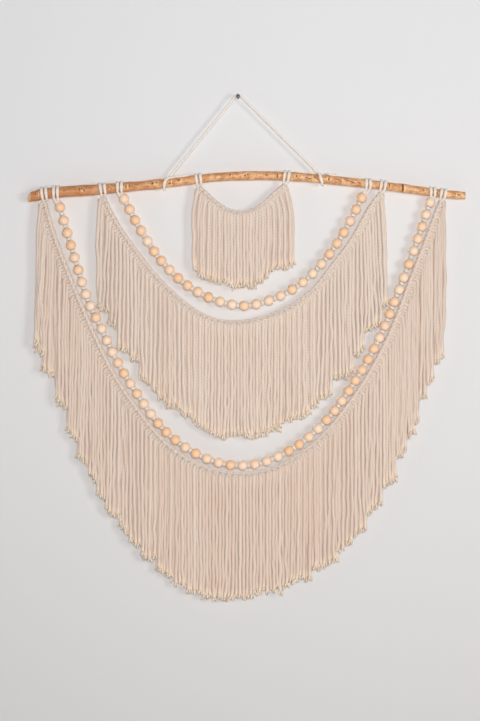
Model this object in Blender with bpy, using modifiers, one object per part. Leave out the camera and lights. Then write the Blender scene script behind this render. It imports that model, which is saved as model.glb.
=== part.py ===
"""Macrame wall hanging: three fringed swags and two bead garlands tied to a branch, which hangs
from a nail by a cord.

Metres, +Z up. The wall is the plane y = 0 and everything hangs in front of it, at y < 0. The origin
is the middle of the nail's flat back end. Left and right are the viewer's, looking along +Y.
"""
import math
import random

import bmesh
import bpy
import numpy as np
from mathutils import Vector

MM = 0.001
HANG_Y = -18 * MM          # depth of the branch's axis and of all that hangs from it
CLEAR = 0.3 * MM           # gap between a cord and the wood or metal that it bears on

CORD_RADIUS = 2.35 * MM    # hanging cord, hitches and garland strings
HITCH_STEP = 45            # degrees between the points of a cord that goes round the branch
HITCH_TURN = range(35, 265, HITCH_STEP)   # degrees from under the branch, over its front, to behind

NAIL_SHANK_RADIUS = 1.6 * MM
NAIL_HEAD_RADIUS = 4.0 * MM
NAIL_LENGTH = 25 * MM      # from the wall to the top of the head
NAIL_HEAD = 1.8 * MM       # thickness of the head
NAIL_SIDES = 16

BEAD_RADIUS = 10.25 * MM
BEAD_SIDES = 7
FINE_BEAD = 20             # steps of the string from bead to bead, by which the beads are shifted
# A bead's outline along its string, in bead radii:  along, out
BEAD_OUTLINE = ((-0.94, 0.36), (-0.45, 1.00), (0.45, 1.00), (0.94, 0.36))

KNOT_RADIUS = 4.9 * MM     # the bar of knots, at the middle of a knot
VALLEY_RADIUS = 3.5 * MM   # and between two knots
BAR_SIDES = 6
STRAND_DEPTH = 4.2 * MM    # thickness of a strand from front to back
LAYER_Y = 2.5 * MM         # strands hang alternately this far in front of the bar and behind it
STRAND_WIDTHS = (3.7 * MM, 6.4 * MM)
STRAND_FILL = 0.8          # a strand's share of the room between its layer's neighbours
STRAND_NECK = 2.5 * MM     # how far a strand stands off the bar before it turns down
STRAND_REACH = 3.5 * MM    # and how much further where the bar is upright
STRAND_DROP = 6 * MM       # how much lower it is then when it has turned
STEEP = 0.4                # sine of the bar's slope past which a strand leaves sideways
SPREAD_SHARE = 0.3         # share of a swag's strands, from either end, that spread outwards
LENGTH_SPREAD = 8 * MM     # how unevenly the fringe is cut
SWAY = 0.5 * MM            # how far a strand's end strays sideways

# The branch's axis from left to right:  x, z, radius
BRANCH = (
    (-0.434, -0.2050, 0.0108),
    (-0.387, -0.1980, 0.0113),
    (-0.295, -0.1909, 0.0103),
    (-0.164, -0.1792, 0.0092),
    (-0.023, -0.1636, 0.0087),
    (0.085, -0.1625, 0.0087),
    (0.204, -0.1720, 0.0086),
    (0.325, -0.1860, 0.0083),
    (0.435, -0.2005, 0.0078),
    (0.465, -0.2030, 0.0075),
)
# Swellings where twigs were cut off:  x, height, half length
BRANCH_KNOTS = (
    (-0.412, 0.0007, 0.010),
    (-0.316, 0.0008, 0.012),
    (-0.225, 0.0007, 0.010),
    (-0.170, 0.0010, 0.011),
    (0.018, 0.0006, 0.012),
    (0.117, 0.0010, 0.011),
    (0.338, 0.0009, 0.010),
    (0.448, 0.0006, 0.009),
)
BRANCH_STEP = 28 * MM
BRANCH_BEVEL = 4           # bevel resolution of the branch: twelve sides
END_CUT_NORMAL = (-0.86, 0.0, 0.51)   # the left end is sawn off at a slant
END_CUT_INSET = 4 * MM

# The hanging cord's ties, each one turn round the branch that leaves a short tail on top:
# x, degrees from under the branch towards the viewer
TIE_LEFT = (
    (-0.1030, 150), (-0.1190, 150), (-0.1340, 149), (-0.1445, 138), (-0.1495, 95),
    (-0.1512, 50), (-0.1512, 5), (-0.1505, -40), (-0.1490, -85), (-0.1460, -130), (-0.1405, -172),
)
TIE_RIGHT = (
    (0.1635, 178), (0.1664, 138), (0.1688, 95), (0.1714, 50), (0.1732, 5), (0.1744, -40),
    (0.1756, -85), (0.1772, -130), (0.1802, -172), (0.1868, -196), (0.1940, -206), (0.2010, -208),
)
NAIL_BEND = (139, 93, 47)  # degrees at which the cord lies on the nail's shank
RISER_SHARES = (0.05, 0.35, 0.65, 0.95)   # points of the taut stretches between tie and nail
CORD_SAMPLES = 1200
CORD_BEVEL = 2             # bevel resolution of the hanging cord: eight sides
CORD_STEP = 3 * MM         # the cord's rings are this far apart at least
CORD_TURN = math.radians(24)
CORD_LONGEST_STEP = 45 * MM

# Each line that hangs between two hitches:  x, z
OUTER_BAR = (
    (-0.3959, -0.2190), (-0.3795, -0.2749), (-0.3569, -0.3374), (-0.3241, -0.4194),
    (-0.2882, -0.5014), (-0.2462, -0.5834), (-0.2032, -0.6460), (-0.1706, -0.6875),
    (-0.1330, -0.7240), (-0.0699, -0.7608), (0.0039, -0.7741), (0.0666, -0.7651),
    (0.1494, -0.7167), (0.2355, -0.6183), (0.3083, -0.4932), (0.3612, -0.3600), (0.4180, -0.2165),
)
MIDDLE_BAR = (
    (-0.2760, -0.2085), (-0.2462, -0.2628), (-0.2046, -0.3227), (-0.1634, -0.3733),
    (-0.1222, -0.4125), (-0.0804, -0.4438), (-0.0379, -0.4604), (-0.0002, -0.4631),
    (0.0672, -0.4492), (0.1084, -0.4305), (0.1507, -0.3989), (0.1919, -0.3485),
    (0.2331, -0.2948), (0.2735, -0.2250), (0.2920, -0.2000),
)
INNER_BAR = (
    (-0.0802, -0.1865), (-0.0658, -0.2000), (-0.0484, -0.2171), (-0.0176, -0.2350),
    (-0.0023, -0.2382), (0.0285, -0.2306), (0.0582, -0.2083), (0.0728, -0.1975), (0.0960, -0.1825),
)
OUTER_STRING = (
    (-0.3651, -0.2263), (-0.3354, -0.3288), (-0.3032, -0.4282), (-0.2796, -0.4762),
    (-0.2582, -0.5230), (-0.2080, -0.6075), (-0.1472, -0.6872), (-0.0884, -0.7305),
    (-0.0166, -0.7546), (0.0326, -0.7536), (0.1023, -0.7269), (0.1802, -0.6634),
    (0.2396, -0.5824), (0.2888, -0.4953), (0.3288, -0.3979), (0.3590, -0.3173), (0.3931, -0.2168),
)
INNER_STRING = (
    (-0.2341, -0.2090), (-0.1991, -0.2739), (-0.1564, -0.3374), (-0.1023, -0.3877),
    (-0.0355, -0.4205), (0.0131, -0.4287), (0.0629, -0.4178), (0.1335, -0.3795),
    (0.1868, -0.3227), (0.2284, -0.2565), (0.2530, -0.2073),
)

# The fringe's lower edge:  x, z
OUTER_HEM = (
    (-0.421, -0.483), (-0.384, -0.579), (-0.345, -0.680), (-0.298, -0.782), (-0.222, -0.905),
    (-0.150, -0.977), (-0.099, -1.015), (0.000, -1.033), (0.065, -1.016), (0.145, -0.985),
    (0.238, -0.903), (0.307, -0.797), (0.356, -0.684), (0.400, -0.563), (0.434, -0.499),
)
MIDDLE_HEM = (
    (-0.291, -0.424), (-0.265, -0.456), (-0.216, -0.545), (-0.160, -0.616), (-0.099, -0.663),
    (-0.062, -0.686), (-0.002, -0.704), (0.055, -0.690), (0.147, -0.645), (0.199, -0.592),
    (0.246, -0.534), (0.274, -0.477), (0.307, -0.418),
)
INNER_HEM = (
    (-0.094, -0.343), (-0.053, -0.374), (-0.002, -0.393), (0.041, -0.385), (0.078, -0.360),
    (0.112, -0.326),
)

# Swags:  name, bar, hem, strands, hitch bands' x left (outer, inner) and right (inner, outer),
# how far the outermost strands spread out at the left and at the right
SWAGS = (
    ("swag_outer", OUTER_BAR, OUTER_HEM, 142, (-0.4010, -0.3925), (0.4155, 0.4240), 13 * MM, 5 * MM),
    ("swag_middle", MIDDLE_BAR, MIDDLE_HEM, 84, (-0.2812, -0.2727), (0.2925, 0.3010), 5 * MM, 2 * MM),
    ("swag_inner", INNER_BAR, INNER_HEM, 24, (-0.0854, -0.0769), (0.0950, 0.1035), 5 * MM, 9 * MM),
)
# The knots between beads differ, so the beads are not quite evenly spaced:  number of a bead, and
# how far it lies beyond its even place, in spacings
OUTER_SHIFT = (
    (0, 0.0), (1, 0.11), (5, 0.22), (12, 0.31), (17, 0.15), (21, 0.0), (30, -0.22), (38, -0.41),
    (43, -0.52), (48, -0.35), (50, -0.07), (54, 0.0),
)
INNER_SHIFT = ((0, 0.0), (1, -0.04), (5, -0.15), (11, -0.38), (15, -0.45), (20, -0.25), (27, 0.0))

# Garlands:  name, string, shifts, beads, hitch bands' x left and right, as for the swags
GARLANDS = (
    ("garland_outer", OUTER_STRING, OUTER_SHIFT, 55, (-0.3770, -0.3690), (0.3945, 0.4025)),
    ("garland_inner", INNER_STRING, INNER_SHIFT, 28, (-0.2465, -0.2385), (0.2625, 0.2705)),
)

# Colours and finish of the parts:  red, green, blue, roughness, metallic
FINISHES = {
    "cotton": (0.80, 0.70, 0.60, 0.90, 0.0),
    "bead wood": (0.78, 0.55, 0.33, 0.55, 0.0),
    "branch wood": (0.52, 0.26, 0.12, 0.60, 0.0),
    "nail steel": (0.10, 0.10, 0.11, 0.40, 1.0),
}


def clear_scene():
    for item in list(bpy.data.objects):
        bpy.data.objects.remove(item, do_unlink=True)


def finish(name):
    red, green, blue, roughness, metallic = FINISHES[name]
    material = bpy.data.materials.new(name)
    material.use_nodes = True
    shader = material.node_tree.nodes["Principled BSDF"]
    shader.inputs["Base Color"].default_value = (red, green, blue, 1.0)
    shader.inputs["Roughness"].default_value = roughness
    shader.inputs["Metallic"].default_value = metallic
    return material


def smooth(table, at):
    """The columns of a table after its first, at places along its first.

    Each stretch is a cubic whose slope at a row comes from the rows on either side.
    """
    table = np.asarray(table, float)
    at = np.clip(np.asarray(at, float), table[0, 0], table[-1, 0])
    knots, values = table[:, 0], table[:, 1:]
    slopes = np.gradient(values, knots, axis=0)
    row = np.clip(np.searchsorted(knots, at, side="right") - 1, 0, len(knots) - 2)
    span = (knots[row + 1] - knots[row])[:, None]
    part = (at - knots[row])[:, None] / span
    start, end = values[row], values[row + 1]
    lift = part * (1 - part)
    return (
        start + (end - start) * part * part * (3 - 2 * part)
        + span * lift * ((1 - part) * slopes[row] - part * slopes[row + 1])
    )


FINE_STEPS = 60            # samples of a line for each of its points, to measure its length by


def even_line(points, count):
    """A smooth line through the points, as count points at equal steps of its length."""
    points = np.asarray(points, float)
    chords = np.linalg.norm(np.diff(points, axis=0), axis=1)
    knots = np.concatenate([[0.0], np.cumsum(chords)])
    fine = smooth(np.column_stack([knots, points]), np.linspace(0, knots[-1], FINE_STEPS * len(points)))
    length = np.concatenate([[0.0], np.cumsum(np.linalg.norm(np.diff(fine, axis=0), axis=1))])
    steps = np.linspace(0, length[-1], count)
    return np.column_stack([np.interp(steps, length, fine[:, axis]) for axis in range(3)])


def hanging(line):
    """The x, z rows of a line as points at the depth where everything hangs."""
    return [(x, HANG_Y, z) for x, z in line]


def branch_at(x):
    """(z of the branch's axis, its radius) at x, with the swellings."""
    z, radius = smooth(BRANCH, [x])[0]
    for knot_x, height, reach in BRANCH_KNOTS:
        radius += height * math.exp(-(((x - knot_x) / reach) ** 2))
    return z, radius


def round_branch(x, degrees):
    """A point of a cord on the branch, degrees from straight below towards the viewer.

    It stands off so far that the cord stays clear of the wood halfway to the next point.
    """
    z, radius = branch_at(x)
    reach = (radius + CLEAR + CORD_RADIUS) / math.cos(math.radians(HITCH_STEP / 2))
    angle = math.radians(degrees)
    return x, HANG_Y - reach * math.sin(angle), z - reach * math.cos(angle)


def hitch(free_x, run_x):
    """A cord's way up over the front of the branch at free_x, across behind it, and back to the
    front at run_x, from where it hangs."""
    there = [round_branch(free_x, angle) for angle in HITCH_TURN]
    back = [round_branch(run_x, angle) for angle in reversed(HITCH_TURN)]
    return there + back


def frames(points, start):
    """(tangents, side vectors) along the points, the side carried both ways from straight down at
    the start with no twist."""
    points = np.asarray(points, float)
    tangents = np.gradient(points, axis=0)
    tangents /= np.linalg.norm(tangents, axis=1)[:, None]
    sides = np.zeros_like(points)
    down = np.array([0.0, 0.0, -1.0])
    down -= tangents[start] * (down @ tangents[start])
    sides[start] = down / np.linalg.norm(down)
    onward = [(i, i - 1) for i in range(start + 1, len(points))]
    backward = [(i, i + 1) for i in range(start - 1, -1, -1)]
    for i, before in onward + backward:
        side = sides[before] - tangents[i] * (sides[before] @ tangents[i])
        sides[i] = side / np.linalg.norm(side)
    return tangents, sides


def loft(mesh, points, radii, sides, start):
    """A closed tube along the points. Returns its faces, a list for each step along it: the first
    and last of a list are the lower ones at the ring called start, towards the viewer and away."""
    tangents, out = frames(points, start)
    across = np.cross(out, tangents)
    rings = []
    for point, side, other, radius in zip(points, out, across, radii):
        ring = []
        for corner in range(sides):
            angle = 2 * math.pi * corner / sides
            spoke = side * math.cos(angle) + other * math.sin(angle)
            ring.append(mesh.verts.new(np.asarray(point) + radius * spoke))
        rings.append(ring)
    bands = []
    for ring, after in zip(rings, rings[1:]):
        band = []
        for corner in range(sides):
            beyond = (corner + 1) % sides
            band.append(mesh.faces.new((ring[corner], after[corner], after[beyond], ring[beyond])))
        bands.append(band)
    mesh.faces.new(rings[0])
    mesh.faces.new(list(reversed(rings[-1])))
    return bands


def grow(mesh, face, before, centre, along, wide, deep):
    """Extrudes a face into a rectangle about the centre, and returns the new end.

    The rectangle is wide in the direction along, which was called before on the old face, and deep
    from front to back.
    """
    end = bmesh.ops.extrude_discrete_faces(mesh, faces=[face])["faces"][0]
    middle = end.calc_center_median()
    for corner in end.verts:
        offset = corner.co - middle
        sideways = math.copysign(wide / 2, offset.dot(before))
        corner.co = centre + along * sideways + Vector((0, math.copysign(deep / 2, offset.y), 0))
    return end


def strand(mesh, root, start, onward, layer, hem, spread, rng):
    """One strand, drawn out of a face of the bar between two of its rings at start and onward. On
    the bar's steep sides it leaves sideways, and then turns down."""
    along = (onward - start).normalized()
    outward = Vector((along.z, 0, -along.x))
    steep = abs(outward.x)
    room = 2 * (onward.x - start.x)
    wide = min(max(STRAND_FILL * room, STRAND_WIDTHS[0]), STRAND_WIDTHS[1])
    base = (start + onward) / 2 + Vector((0, layer, 0))
    across, down = Vector((1, 0, 0)), Vector((0, 0, -1))
    neck = base + outward * (KNOT_RADIUS + STRAND_NECK)
    if steep > STEEP:
        root = grow(mesh, root, along, neck, along, wide, STRAND_DEPTH)
    bend = neck + outward * STRAND_REACH * steep + down * (STRAND_NECK + STRAND_DROP * steep)
    face = grow(mesh, root, along, bend, across, wide, STRAND_DEPTH)
    x = bend.x + spread + rng.uniform(-SWAY, SWAY)
    z = smooth(hem, [x])[0][0] + rng.uniform(-LENGTH_SPREAD, LENGTH_SPREAD)
    grow(mesh, face, across, Vector((x, base.y, z)), across, wide, STRAND_DEPTH)


def swag(collection, material, name, bar, hem, strands, left, right, spread_left, spread_right):
    """A bar of knots hitched to the branch at both ends, with its fringe in one piece."""
    line = even_line(hanging(bar), strands + 1)
    route = hitch(*left) + list(line) + list(reversed(hitch(right[1], right[0])))
    first = len(hitch(*left))
    radii = [CORD_RADIUS] * len(route)
    for ring in range(1, strands):
        radii[first + ring] = KNOT_RADIUS if ring % 2 else VALLEY_RADIUS
    mesh = bmesh.new()
    bands = loft(mesh, route, radii, BAR_SIDES, first + strands // 2)
    rng = random.Random(name)
    reach = SPREAD_SHARE * strands
    for i in range(strands):
        front = i % 2 == 0
        root = bands[first + i][0 if front else BAR_SIDES - 1]
        spread = spread_right * max(0, 1 - (strands - 1 - i) / reach) ** 2
        spread -= spread_left * max(0, 1 - i / reach) ** 2
        layer = -LAYER_Y if front else LAYER_Y
        strand(mesh, root, Vector(line[i]), Vector(line[i + 1]), layer, hem, spread, rng)
    return new_object(mesh, name, material, collection)


def garland(collection, material, name, string, shifts, beads, left, right):
    """A string hitched to the branch at both ends, with its beads in one piece."""
    fine = np.array(even_line(hanging(string), FINE_BEAD * (beads - 1) + 1))
    numbers, beyond = np.transpose(shifts)
    place = FINE_BEAD * (np.arange(beads) + np.interp(np.arange(beads), numbers, beyond))
    centres = np.column_stack([np.interp(place, np.arange(len(fine)), side) for side in fine.T])
    tangents = np.gradient(centres, axis=0)
    tangents /= np.linalg.norm(tangents, axis=1)[:, None]
    points, radii = hitch(*left), [CORD_RADIUS] * len(hitch(*left))
    start = len(points)
    for centre, tangent in zip(centres, tangents):
        for along, out in BEAD_OUTLINE:
            points.append(centre + tangent * along * BEAD_RADIUS)
            radii.append(out * BEAD_RADIUS)
    ending = list(reversed(hitch(right[1], right[0])))
    mesh = bmesh.new()
    loft(mesh, points + ending, radii + [CORD_RADIUS] * len(ending), BEAD_SIDES,
         start + 2 * beads)
    return new_object(mesh, name, material, collection)


def tube(collection, material, name, points, radii, resolution):
    """A curve object through the points with filled caps; radii are its thickness at each."""
    curve = bpy.data.curves.new(name, "CURVE")
    curve.dimensions = "3D"
    curve.bevel_depth = 1.0
    curve.bevel_resolution = resolution
    curve.use_fill_caps = True
    spline = curve.splines.new("POLY")
    spline.points.add(len(points) - 1)
    for point, place, radius in zip(spline.points, points, radii):
        point.co = (*place, 1.0)
        point.radius = radius
    curve.materials.append(material)
    item = bpy.data.objects.new(name, curve)
    collection.objects.link(item)
    return item


def branch(collection, material):
    """The peeled branch: a tube with swellings whose left end is sawn off at a slant."""
    left, right = BRANCH[0][0], BRANCH[-1][0]
    steps = round((right - left) / BRANCH_STEP)
    xs = np.linspace(left - BRANCH_STEP / 2, right, steps + 1)
    xs = np.unique(np.concatenate([xs, [x for x, _, _ in BRANCH_KNOTS]]))
    stations = [branch_at(x) for x in xs]
    points = [(x, HANG_Y, z) for x, (z, _) in zip(xs, stations)]
    rough = tube(collection, material, "branch_uncut", points, [r for _, r in stations],
                 BRANCH_BEVEL)
    graph = bpy.context.evaluated_depsgraph_get()
    data = bpy.data.meshes.new_from_object(rough.evaluated_get(graph))
    bpy.data.objects.remove(rough)
    mesh = bmesh.new()
    mesh.from_mesh(data)
    bmesh.ops.remove_doubles(mesh, verts=mesh.verts, dist=0.01 * MM)
    cut = bmesh.ops.bisect_plane(
        mesh, geom=mesh.verts[:] + mesh.edges[:] + mesh.faces[:],
        plane_co=(left + END_CUT_INSET, HANG_Y, BRANCH[0][1]), plane_no=END_CUT_NORMAL,
        clear_outer=True,
    )
    rim = [edge for edge in cut["geom_cut"] if isinstance(edge, bmesh.types.BMEdge)]
    bmesh.ops.holes_fill(mesh, edges=rim)
    bpy.data.meshes.remove(data)
    return new_object(mesh, "branch", material, collection)


def thinned(line):
    """The points of a fine line at which it has turned or run on far enough for another ring."""
    kept = [line[0], line[1]]
    for point, after in zip(line[2:-1], line[3:]):
        heading = Vector(after - point)
        turned = heading.angle(Vector(kept[-1] - kept[-2]), 0)
        gone = np.linalg.norm(point - kept[-1])
        if gone > CORD_STEP and (turned > CORD_TURN or gone > CORD_LONGEST_STEP):
            kept.append(point)
    return kept + [line[-1]]


def riser(low, high):
    """The points of a taut stretch between two others."""
    return [Vector(low).lerp(Vector(high), share) for share in RISER_SHARES]


def hanging_cord(collection, material):
    """The cord from its tie at the branch's left, over the nail, to its tie at the right."""
    over = (NAIL_SHANK_RADIUS + CLEAR + CORD_RADIUS) / math.cos(CORD_TURN)
    bend = [
        (over * math.cos(math.radians(a)), HANG_Y, over * math.sin(math.radians(a)))
        for a in NAIL_BEND
    ]
    left = [round_branch(x, a) for x, a in TIE_LEFT]
    right = [round_branch(x, a) for x, a in TIE_RIGHT]
    route = left + riser(left[-1], bend[0]) + bend + riser(bend[-1], right[0]) + right
    points = thinned(even_line(route, CORD_SAMPLES))
    return tube(collection, material, "hanging_cord", points, [CORD_RADIUS] * len(points), CORD_BEVEL)


def nail(collection, material):
    """A round nail, turned about its axis, whose shank ends flat in the plane of the wall."""
    under = NAIL_LENGTH - NAIL_HEAD
    outline = (
        (0, NAIL_LENGTH), (0.8 * NAIL_HEAD_RADIUS, NAIL_LENGTH - 0.1 * NAIL_HEAD),
        (NAIL_HEAD_RADIUS, NAIL_LENGTH - 0.4 * NAIL_HEAD), (NAIL_HEAD_RADIUS, under),
        (NAIL_SHANK_RADIUS, under - 0.3 * MM), (NAIL_SHANK_RADIUS, 0), (0, 0),
    )
    data = bpy.data.meshes.new("nail")
    steps = [(i, i + 1) for i in range(len(outline) - 1)]
    data.from_pydata([(x, 0, z) for x, z in outline], steps, [])
    data.materials.append(material)
    item = bpy.data.objects.new("nail", data)
    collection.objects.link(item)
    screw = item.modifiers.new("turn", "SCREW")
    screw.steps = screw.render_steps = NAIL_SIDES
    screw.use_merge_vertices = True
    screw.merge_threshold = 0.01 * MM
    screw.use_smooth_shade = False
    item.rotation_euler = (math.radians(90), 0, 0)
    return item


def new_object(mesh, name, material, collection):
    """A closed bmesh as an object, shaded smooth but for its sharp edges."""
    bmesh.ops.recalc_face_normals(mesh, faces=mesh.faces)
    data = bpy.data.meshes.new(name)
    mesh.to_mesh(data)
    mesh.free()
    data.shade_smooth()
    data.set_sharp_from_angle(angle=math.radians(50))
    data.materials.append(material)
    item = bpy.data.objects.new(name, data)
    collection.objects.link(item)
    return item


clear_scene()
parts = bpy.data.collections.new("macrame_wall_hanging")
bpy.context.scene.collection.children.link(parts)
finishes = {name: finish(name) for name in FINISHES}
branch(parts, finishes["branch wood"])
nail(parts, finishes["nail steel"])
hanging_cord(parts, finishes["cotton"])
for row in SWAGS:
    swag(parts, finishes["cotton"], *row)
for row in GARLANDS:
    garland(parts, finishes["bead wood"], *row)
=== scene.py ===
"""Looks of the macrame wall hanging: three fringed swags and two bead garlands on a branch, which
hangs from a nail by a cord.

Metres, +Z up. The wall is the plane y = 0 and all hangs in front of it, at y < 0. Left and right
are the viewer's, looking along +Y.
"""
import math

import bpy
import numpy as np
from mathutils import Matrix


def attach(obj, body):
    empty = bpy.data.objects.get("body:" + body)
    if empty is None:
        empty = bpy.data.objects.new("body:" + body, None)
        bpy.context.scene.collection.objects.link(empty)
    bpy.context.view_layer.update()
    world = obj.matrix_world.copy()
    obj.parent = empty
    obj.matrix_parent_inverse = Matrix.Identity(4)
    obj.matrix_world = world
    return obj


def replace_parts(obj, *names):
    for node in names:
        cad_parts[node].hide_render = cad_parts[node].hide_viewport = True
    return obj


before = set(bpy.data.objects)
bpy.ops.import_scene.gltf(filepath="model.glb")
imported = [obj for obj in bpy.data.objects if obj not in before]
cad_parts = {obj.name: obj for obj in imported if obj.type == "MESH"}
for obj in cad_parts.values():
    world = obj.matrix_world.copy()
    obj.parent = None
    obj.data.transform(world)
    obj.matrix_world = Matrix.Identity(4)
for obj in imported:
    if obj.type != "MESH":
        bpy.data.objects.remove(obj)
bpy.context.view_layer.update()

# ---- The room ---------------------------------------------------------------------------------
# The hanging is seen square on from about three metres off, on a white painted wall over a pale
# floor. A soft light stands to the right, a weak one far round to the left and a small one near the
# viewer. One behind the wall lights the hanging's back, so the wall casts no shadow.
MM = 0.001
VIEW_CENTRE = (0.0039, -0.5410)      # x, z in the middle of the picture
VIEW_HEIGHT = 1.478                  # metres of the hanging's plane from the picture's top to its foot
VIEW_DISTANCE = 2.9
HANG_Y = -18 * MM                    # depth of the branch's axis and of all that hangs from it
WALL_Y = 0.2 * MM                    # the wall's paint lies a hair behind the plane y = 0
FLOOR_Z = -2.1
ROOM_REACH = 4                       # how far wall and floor go to either side
# The wall is painted darker low down: painted shade for the light falling off towards the floor
WALL_COLOURS = ((0.582, 0.578, 0.578, 1), (0.735, 0.735, 0.745, 1))
WALL_PAINTED_SHADE_HEIGHTS = (-1.4, 0.25)           # heights at which the wall has those colours
FLOOR_COLOURS = ((0.74, 0.72, 0.69, 1), (0.6, 0.58, 0.55, 1))
LIGHT_AIM = (0.0, 0.0, -0.52)        # about the middle of the hanging
# Lights:  name, place, side of its square, power in watts, colour
LIGHTS = (
    ("window_light", (2.3, -2.7, -0.38), 1.0, 39, (1.0, 0.985, 0.97)),
    ("far_light", (-4.0, -1.7, -0.3), 0.8, 11, (0.97, 0.98, 1.0)),
    ("front_light", (0.05, -2.95, -0.36), 0.5, 51.5, (1.0, 0.99, 0.98)),
    ("back_light", (-0.6, 2.6, 0.1), 1.2, 38, (1.0, 0.98, 0.96)),
)


def nodes_of(name):
    """A new material with one Principled shader: (material, its tree, the shader)."""
    material = bpy.data.materials.new(name)
    material.use_nodes = True
    return material, material.node_tree, material.node_tree.nodes["Principled BSDF"]


def plug(tree, node, **inputs):
    """Fills inputs of a node. One is named with _ for a space, or i0, i1... by its place, and gets
    a number, a colour or another node's socket."""
    for name, value in inputs.items():
        place = int(name[1:]) if name[0] == "i" and name[1:].isdigit() else name.replace("_", " ")
        socket = node.inputs[place]
        if isinstance(value, bpy.types.NodeSocket):
            tree.links.new(value, socket)
        else:
            socket.default_value = value


def add(tree, kind, settings=(), **inputs):
    """A new shader node in the tree, with settings for its own properties and its inputs filled."""
    made = tree.nodes.new("ShaderNode" + kind)
    for name, value in dict(settings).items():
        setattr(made, name, value)
    plug(tree, made, **inputs)
    return made


def noise(tree, vector, scale, detail, **more):
    return add(tree, "TexNoise", Vector=vector, Scale=scale, Detail=detail, **more).outputs["Fac"]


def bump(tree, strength, distance, height):
    return add(tree, "Bump", Strength=strength, Distance=distance, Height=height).outputs["Normal"]


def own_place(tree):
    return add(tree, "TexCoord").outputs["Object"]


def mark_of(tree, name, kind="Fac"):
    """What the mesh keeps at each point under this name, a number or a vector."""
    return add(tree, "Attribute", {"attribute_name": name}).outputs[kind]


def maths(tree, operation, *values):
    """The result of a Math node on these numbers or sockets."""
    inputs = {f"i{place}": value for place, value in enumerate(values)}
    return add(tree, "Math", {"operation": operation}, **inputs).outputs[0]


def times(tree, one, other):
    return maths(tree, "MULTIPLY", one, other)


def plus(tree, one, other):
    return maths(tree, "ADD", one, other)


def half_wave(tree, value, half=0.5):
    """0.5 plus half times the sine of a value."""
    return maths(tree, "MULTIPLY_ADD", maths(tree, "SINE", value), half, 0.5)


def mixed(tree, share, one, other, blend="MIX"):
    """The colour between two colours or sockets, share of the way to the other."""
    made = add(tree, "Mix", {"data_type": "RGBA", "blend_type": blend}, i0=share, i6=one, i7=other)
    return made.outputs[2]


def remap(tree, value, low, high, to_low=0.0, to_high=1.0):
    """A number carried from low..high to to_low..to_high, and held at its ends."""
    made = add(tree, "MapRange", {"clamp": True}, i0=value, i1=low, i2=high, i3=to_low, i4=to_high)
    return made.outputs[0]


def flat_stage(name, corners, material):
    data = bpy.data.meshes.new(name)
    data.from_pydata(corners, [], [(0, 1, 2, 3)])
    data.materials.append(material)
    item = bpy.data.objects.new(name, data)
    bpy.context.scene.collection.objects.link(item)
    return item


def soft_light(name, place, size, power, colour):
    """A square area light at place, turned to LIGHT_AIM."""
    data = bpy.data.lights.new(name, "AREA")
    data.shape = "SQUARE"
    data.size, data.energy, data.color = size, power, colour
    item = bpy.data.objects.new(name, data)
    bpy.context.scene.collection.objects.link(item)
    item.location = place
    aim = np.array(LIGHT_AIM) - np.array(place)
    across, depth, height = aim / np.linalg.norm(aim)
    item.rotation_euler = (math.acos(-height), 0, math.atan2(-across, depth))


wall_paint, tree, shader = nodes_of("wall_paint")
place = own_place(tree)
height = add(tree, "SeparateXYZ", Vector=place).outputs["Z"]
# Painted shade: the wall's colour grows darker towards the floor
plug(tree, shader, Base_Color=mixed(tree, remap(tree, height, *WALL_PAINTED_SHADE_HEIGHTS), *WALL_COLOURS),
     Roughness=0.9, Specular_IOR_Level=0.15,
     Normal=bump(tree, 0.05, 0.001, noise(tree, place, 220.0, 3.0)))
unseen = add(tree, "BsdfTransparent").outputs[0]
back = add(tree, "NewGeometry").outputs["Backfacing"]
seen = add(tree, "MixShader", Fac=back, i1=shader.outputs[0], i2=unseen).outputs[0]
plug(tree, tree.nodes["Material Output"], Surface=seen)
wall = flat_stage("wall", [(x, WALL_Y, z) for x, z in (
    (-ROOM_REACH, FLOOR_Z), (ROOM_REACH, FLOOR_Z), (ROOM_REACH, 2), (-ROOM_REACH, 2))], wall_paint)
wall.visible_shadow = False

floor_finish, tree, shader = nodes_of("floor_finish")
clouds = noise(tree, own_place(tree), 1.5, 4.0)
plug(tree, shader, Roughness=0.7,
     Base_Color=mixed(tree, remap(tree, clouds, 0.3, 0.7, 0.0, 0.12), *FLOOR_COLOURS))
flat_stage("floor", [(x, y, FLOOR_Z) for x, y in (
    (-ROOM_REACH, -5), (ROOM_REACH, -5), (ROOM_REACH, 4), (-ROOM_REACH, 4))], floor_finish)

for light in LIGHTS:
    soft_light(*light)
world = bpy.data.worlds.new("room_light")
world.use_nodes = True
world.node_tree.nodes["Background"].inputs["Color"].default_value = (0.97, 0.98, 1.0, 1)
world.node_tree.nodes["Background"].inputs["Strength"].default_value = 0.2
bpy.context.scene.world = world
bpy.context.scene.view_settings.view_transform = "Standard"

lens = bpy.data.cameras.new("camera")
lens.sensor_fit, lens.sensor_height = "VERTICAL", 36
lens.lens = lens.sensor_height * VIEW_DISTANCE / VIEW_HEIGHT
camera = bpy.data.objects.new("camera", lens)
camera.location = (VIEW_CENTRE[0], HANG_Y - VIEW_DISTANCE, VIEW_CENTRE[1])
camera.rotation_euler = (math.radians(90), 0, 0)
bpy.context.scene.collection.objects.link(camera)
bpy.context.scene.camera = camera

# ---- The branch -------------------------------------------------------------------------------
# A thin peeled branch, 0.9 m long, sanded and varnished orange-brown. Twigs cut off close leave
# small pale or dark scars. It is sawn off at a slant at the left and square at the right.
CLEAR = 0.3 * MM           # gap between a cord and the wood or metal that it bears on
# The axis from left to right:  x, z, radius
BRANCH = (
    (-0.434, -0.2050, 0.0108), (-0.387, -0.1980, 0.0113), (-0.295, -0.1909, 0.0103),
    (-0.164, -0.1792, 0.0092), (-0.023, -0.1636, 0.0087), (0.085, -0.1625, 0.0087),
    (0.204, -0.1720, 0.0086), (0.325, -0.1860, 0.0083), (0.435, -0.2005, 0.0078),
    (0.465, -0.2030, 0.0075),
)
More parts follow.
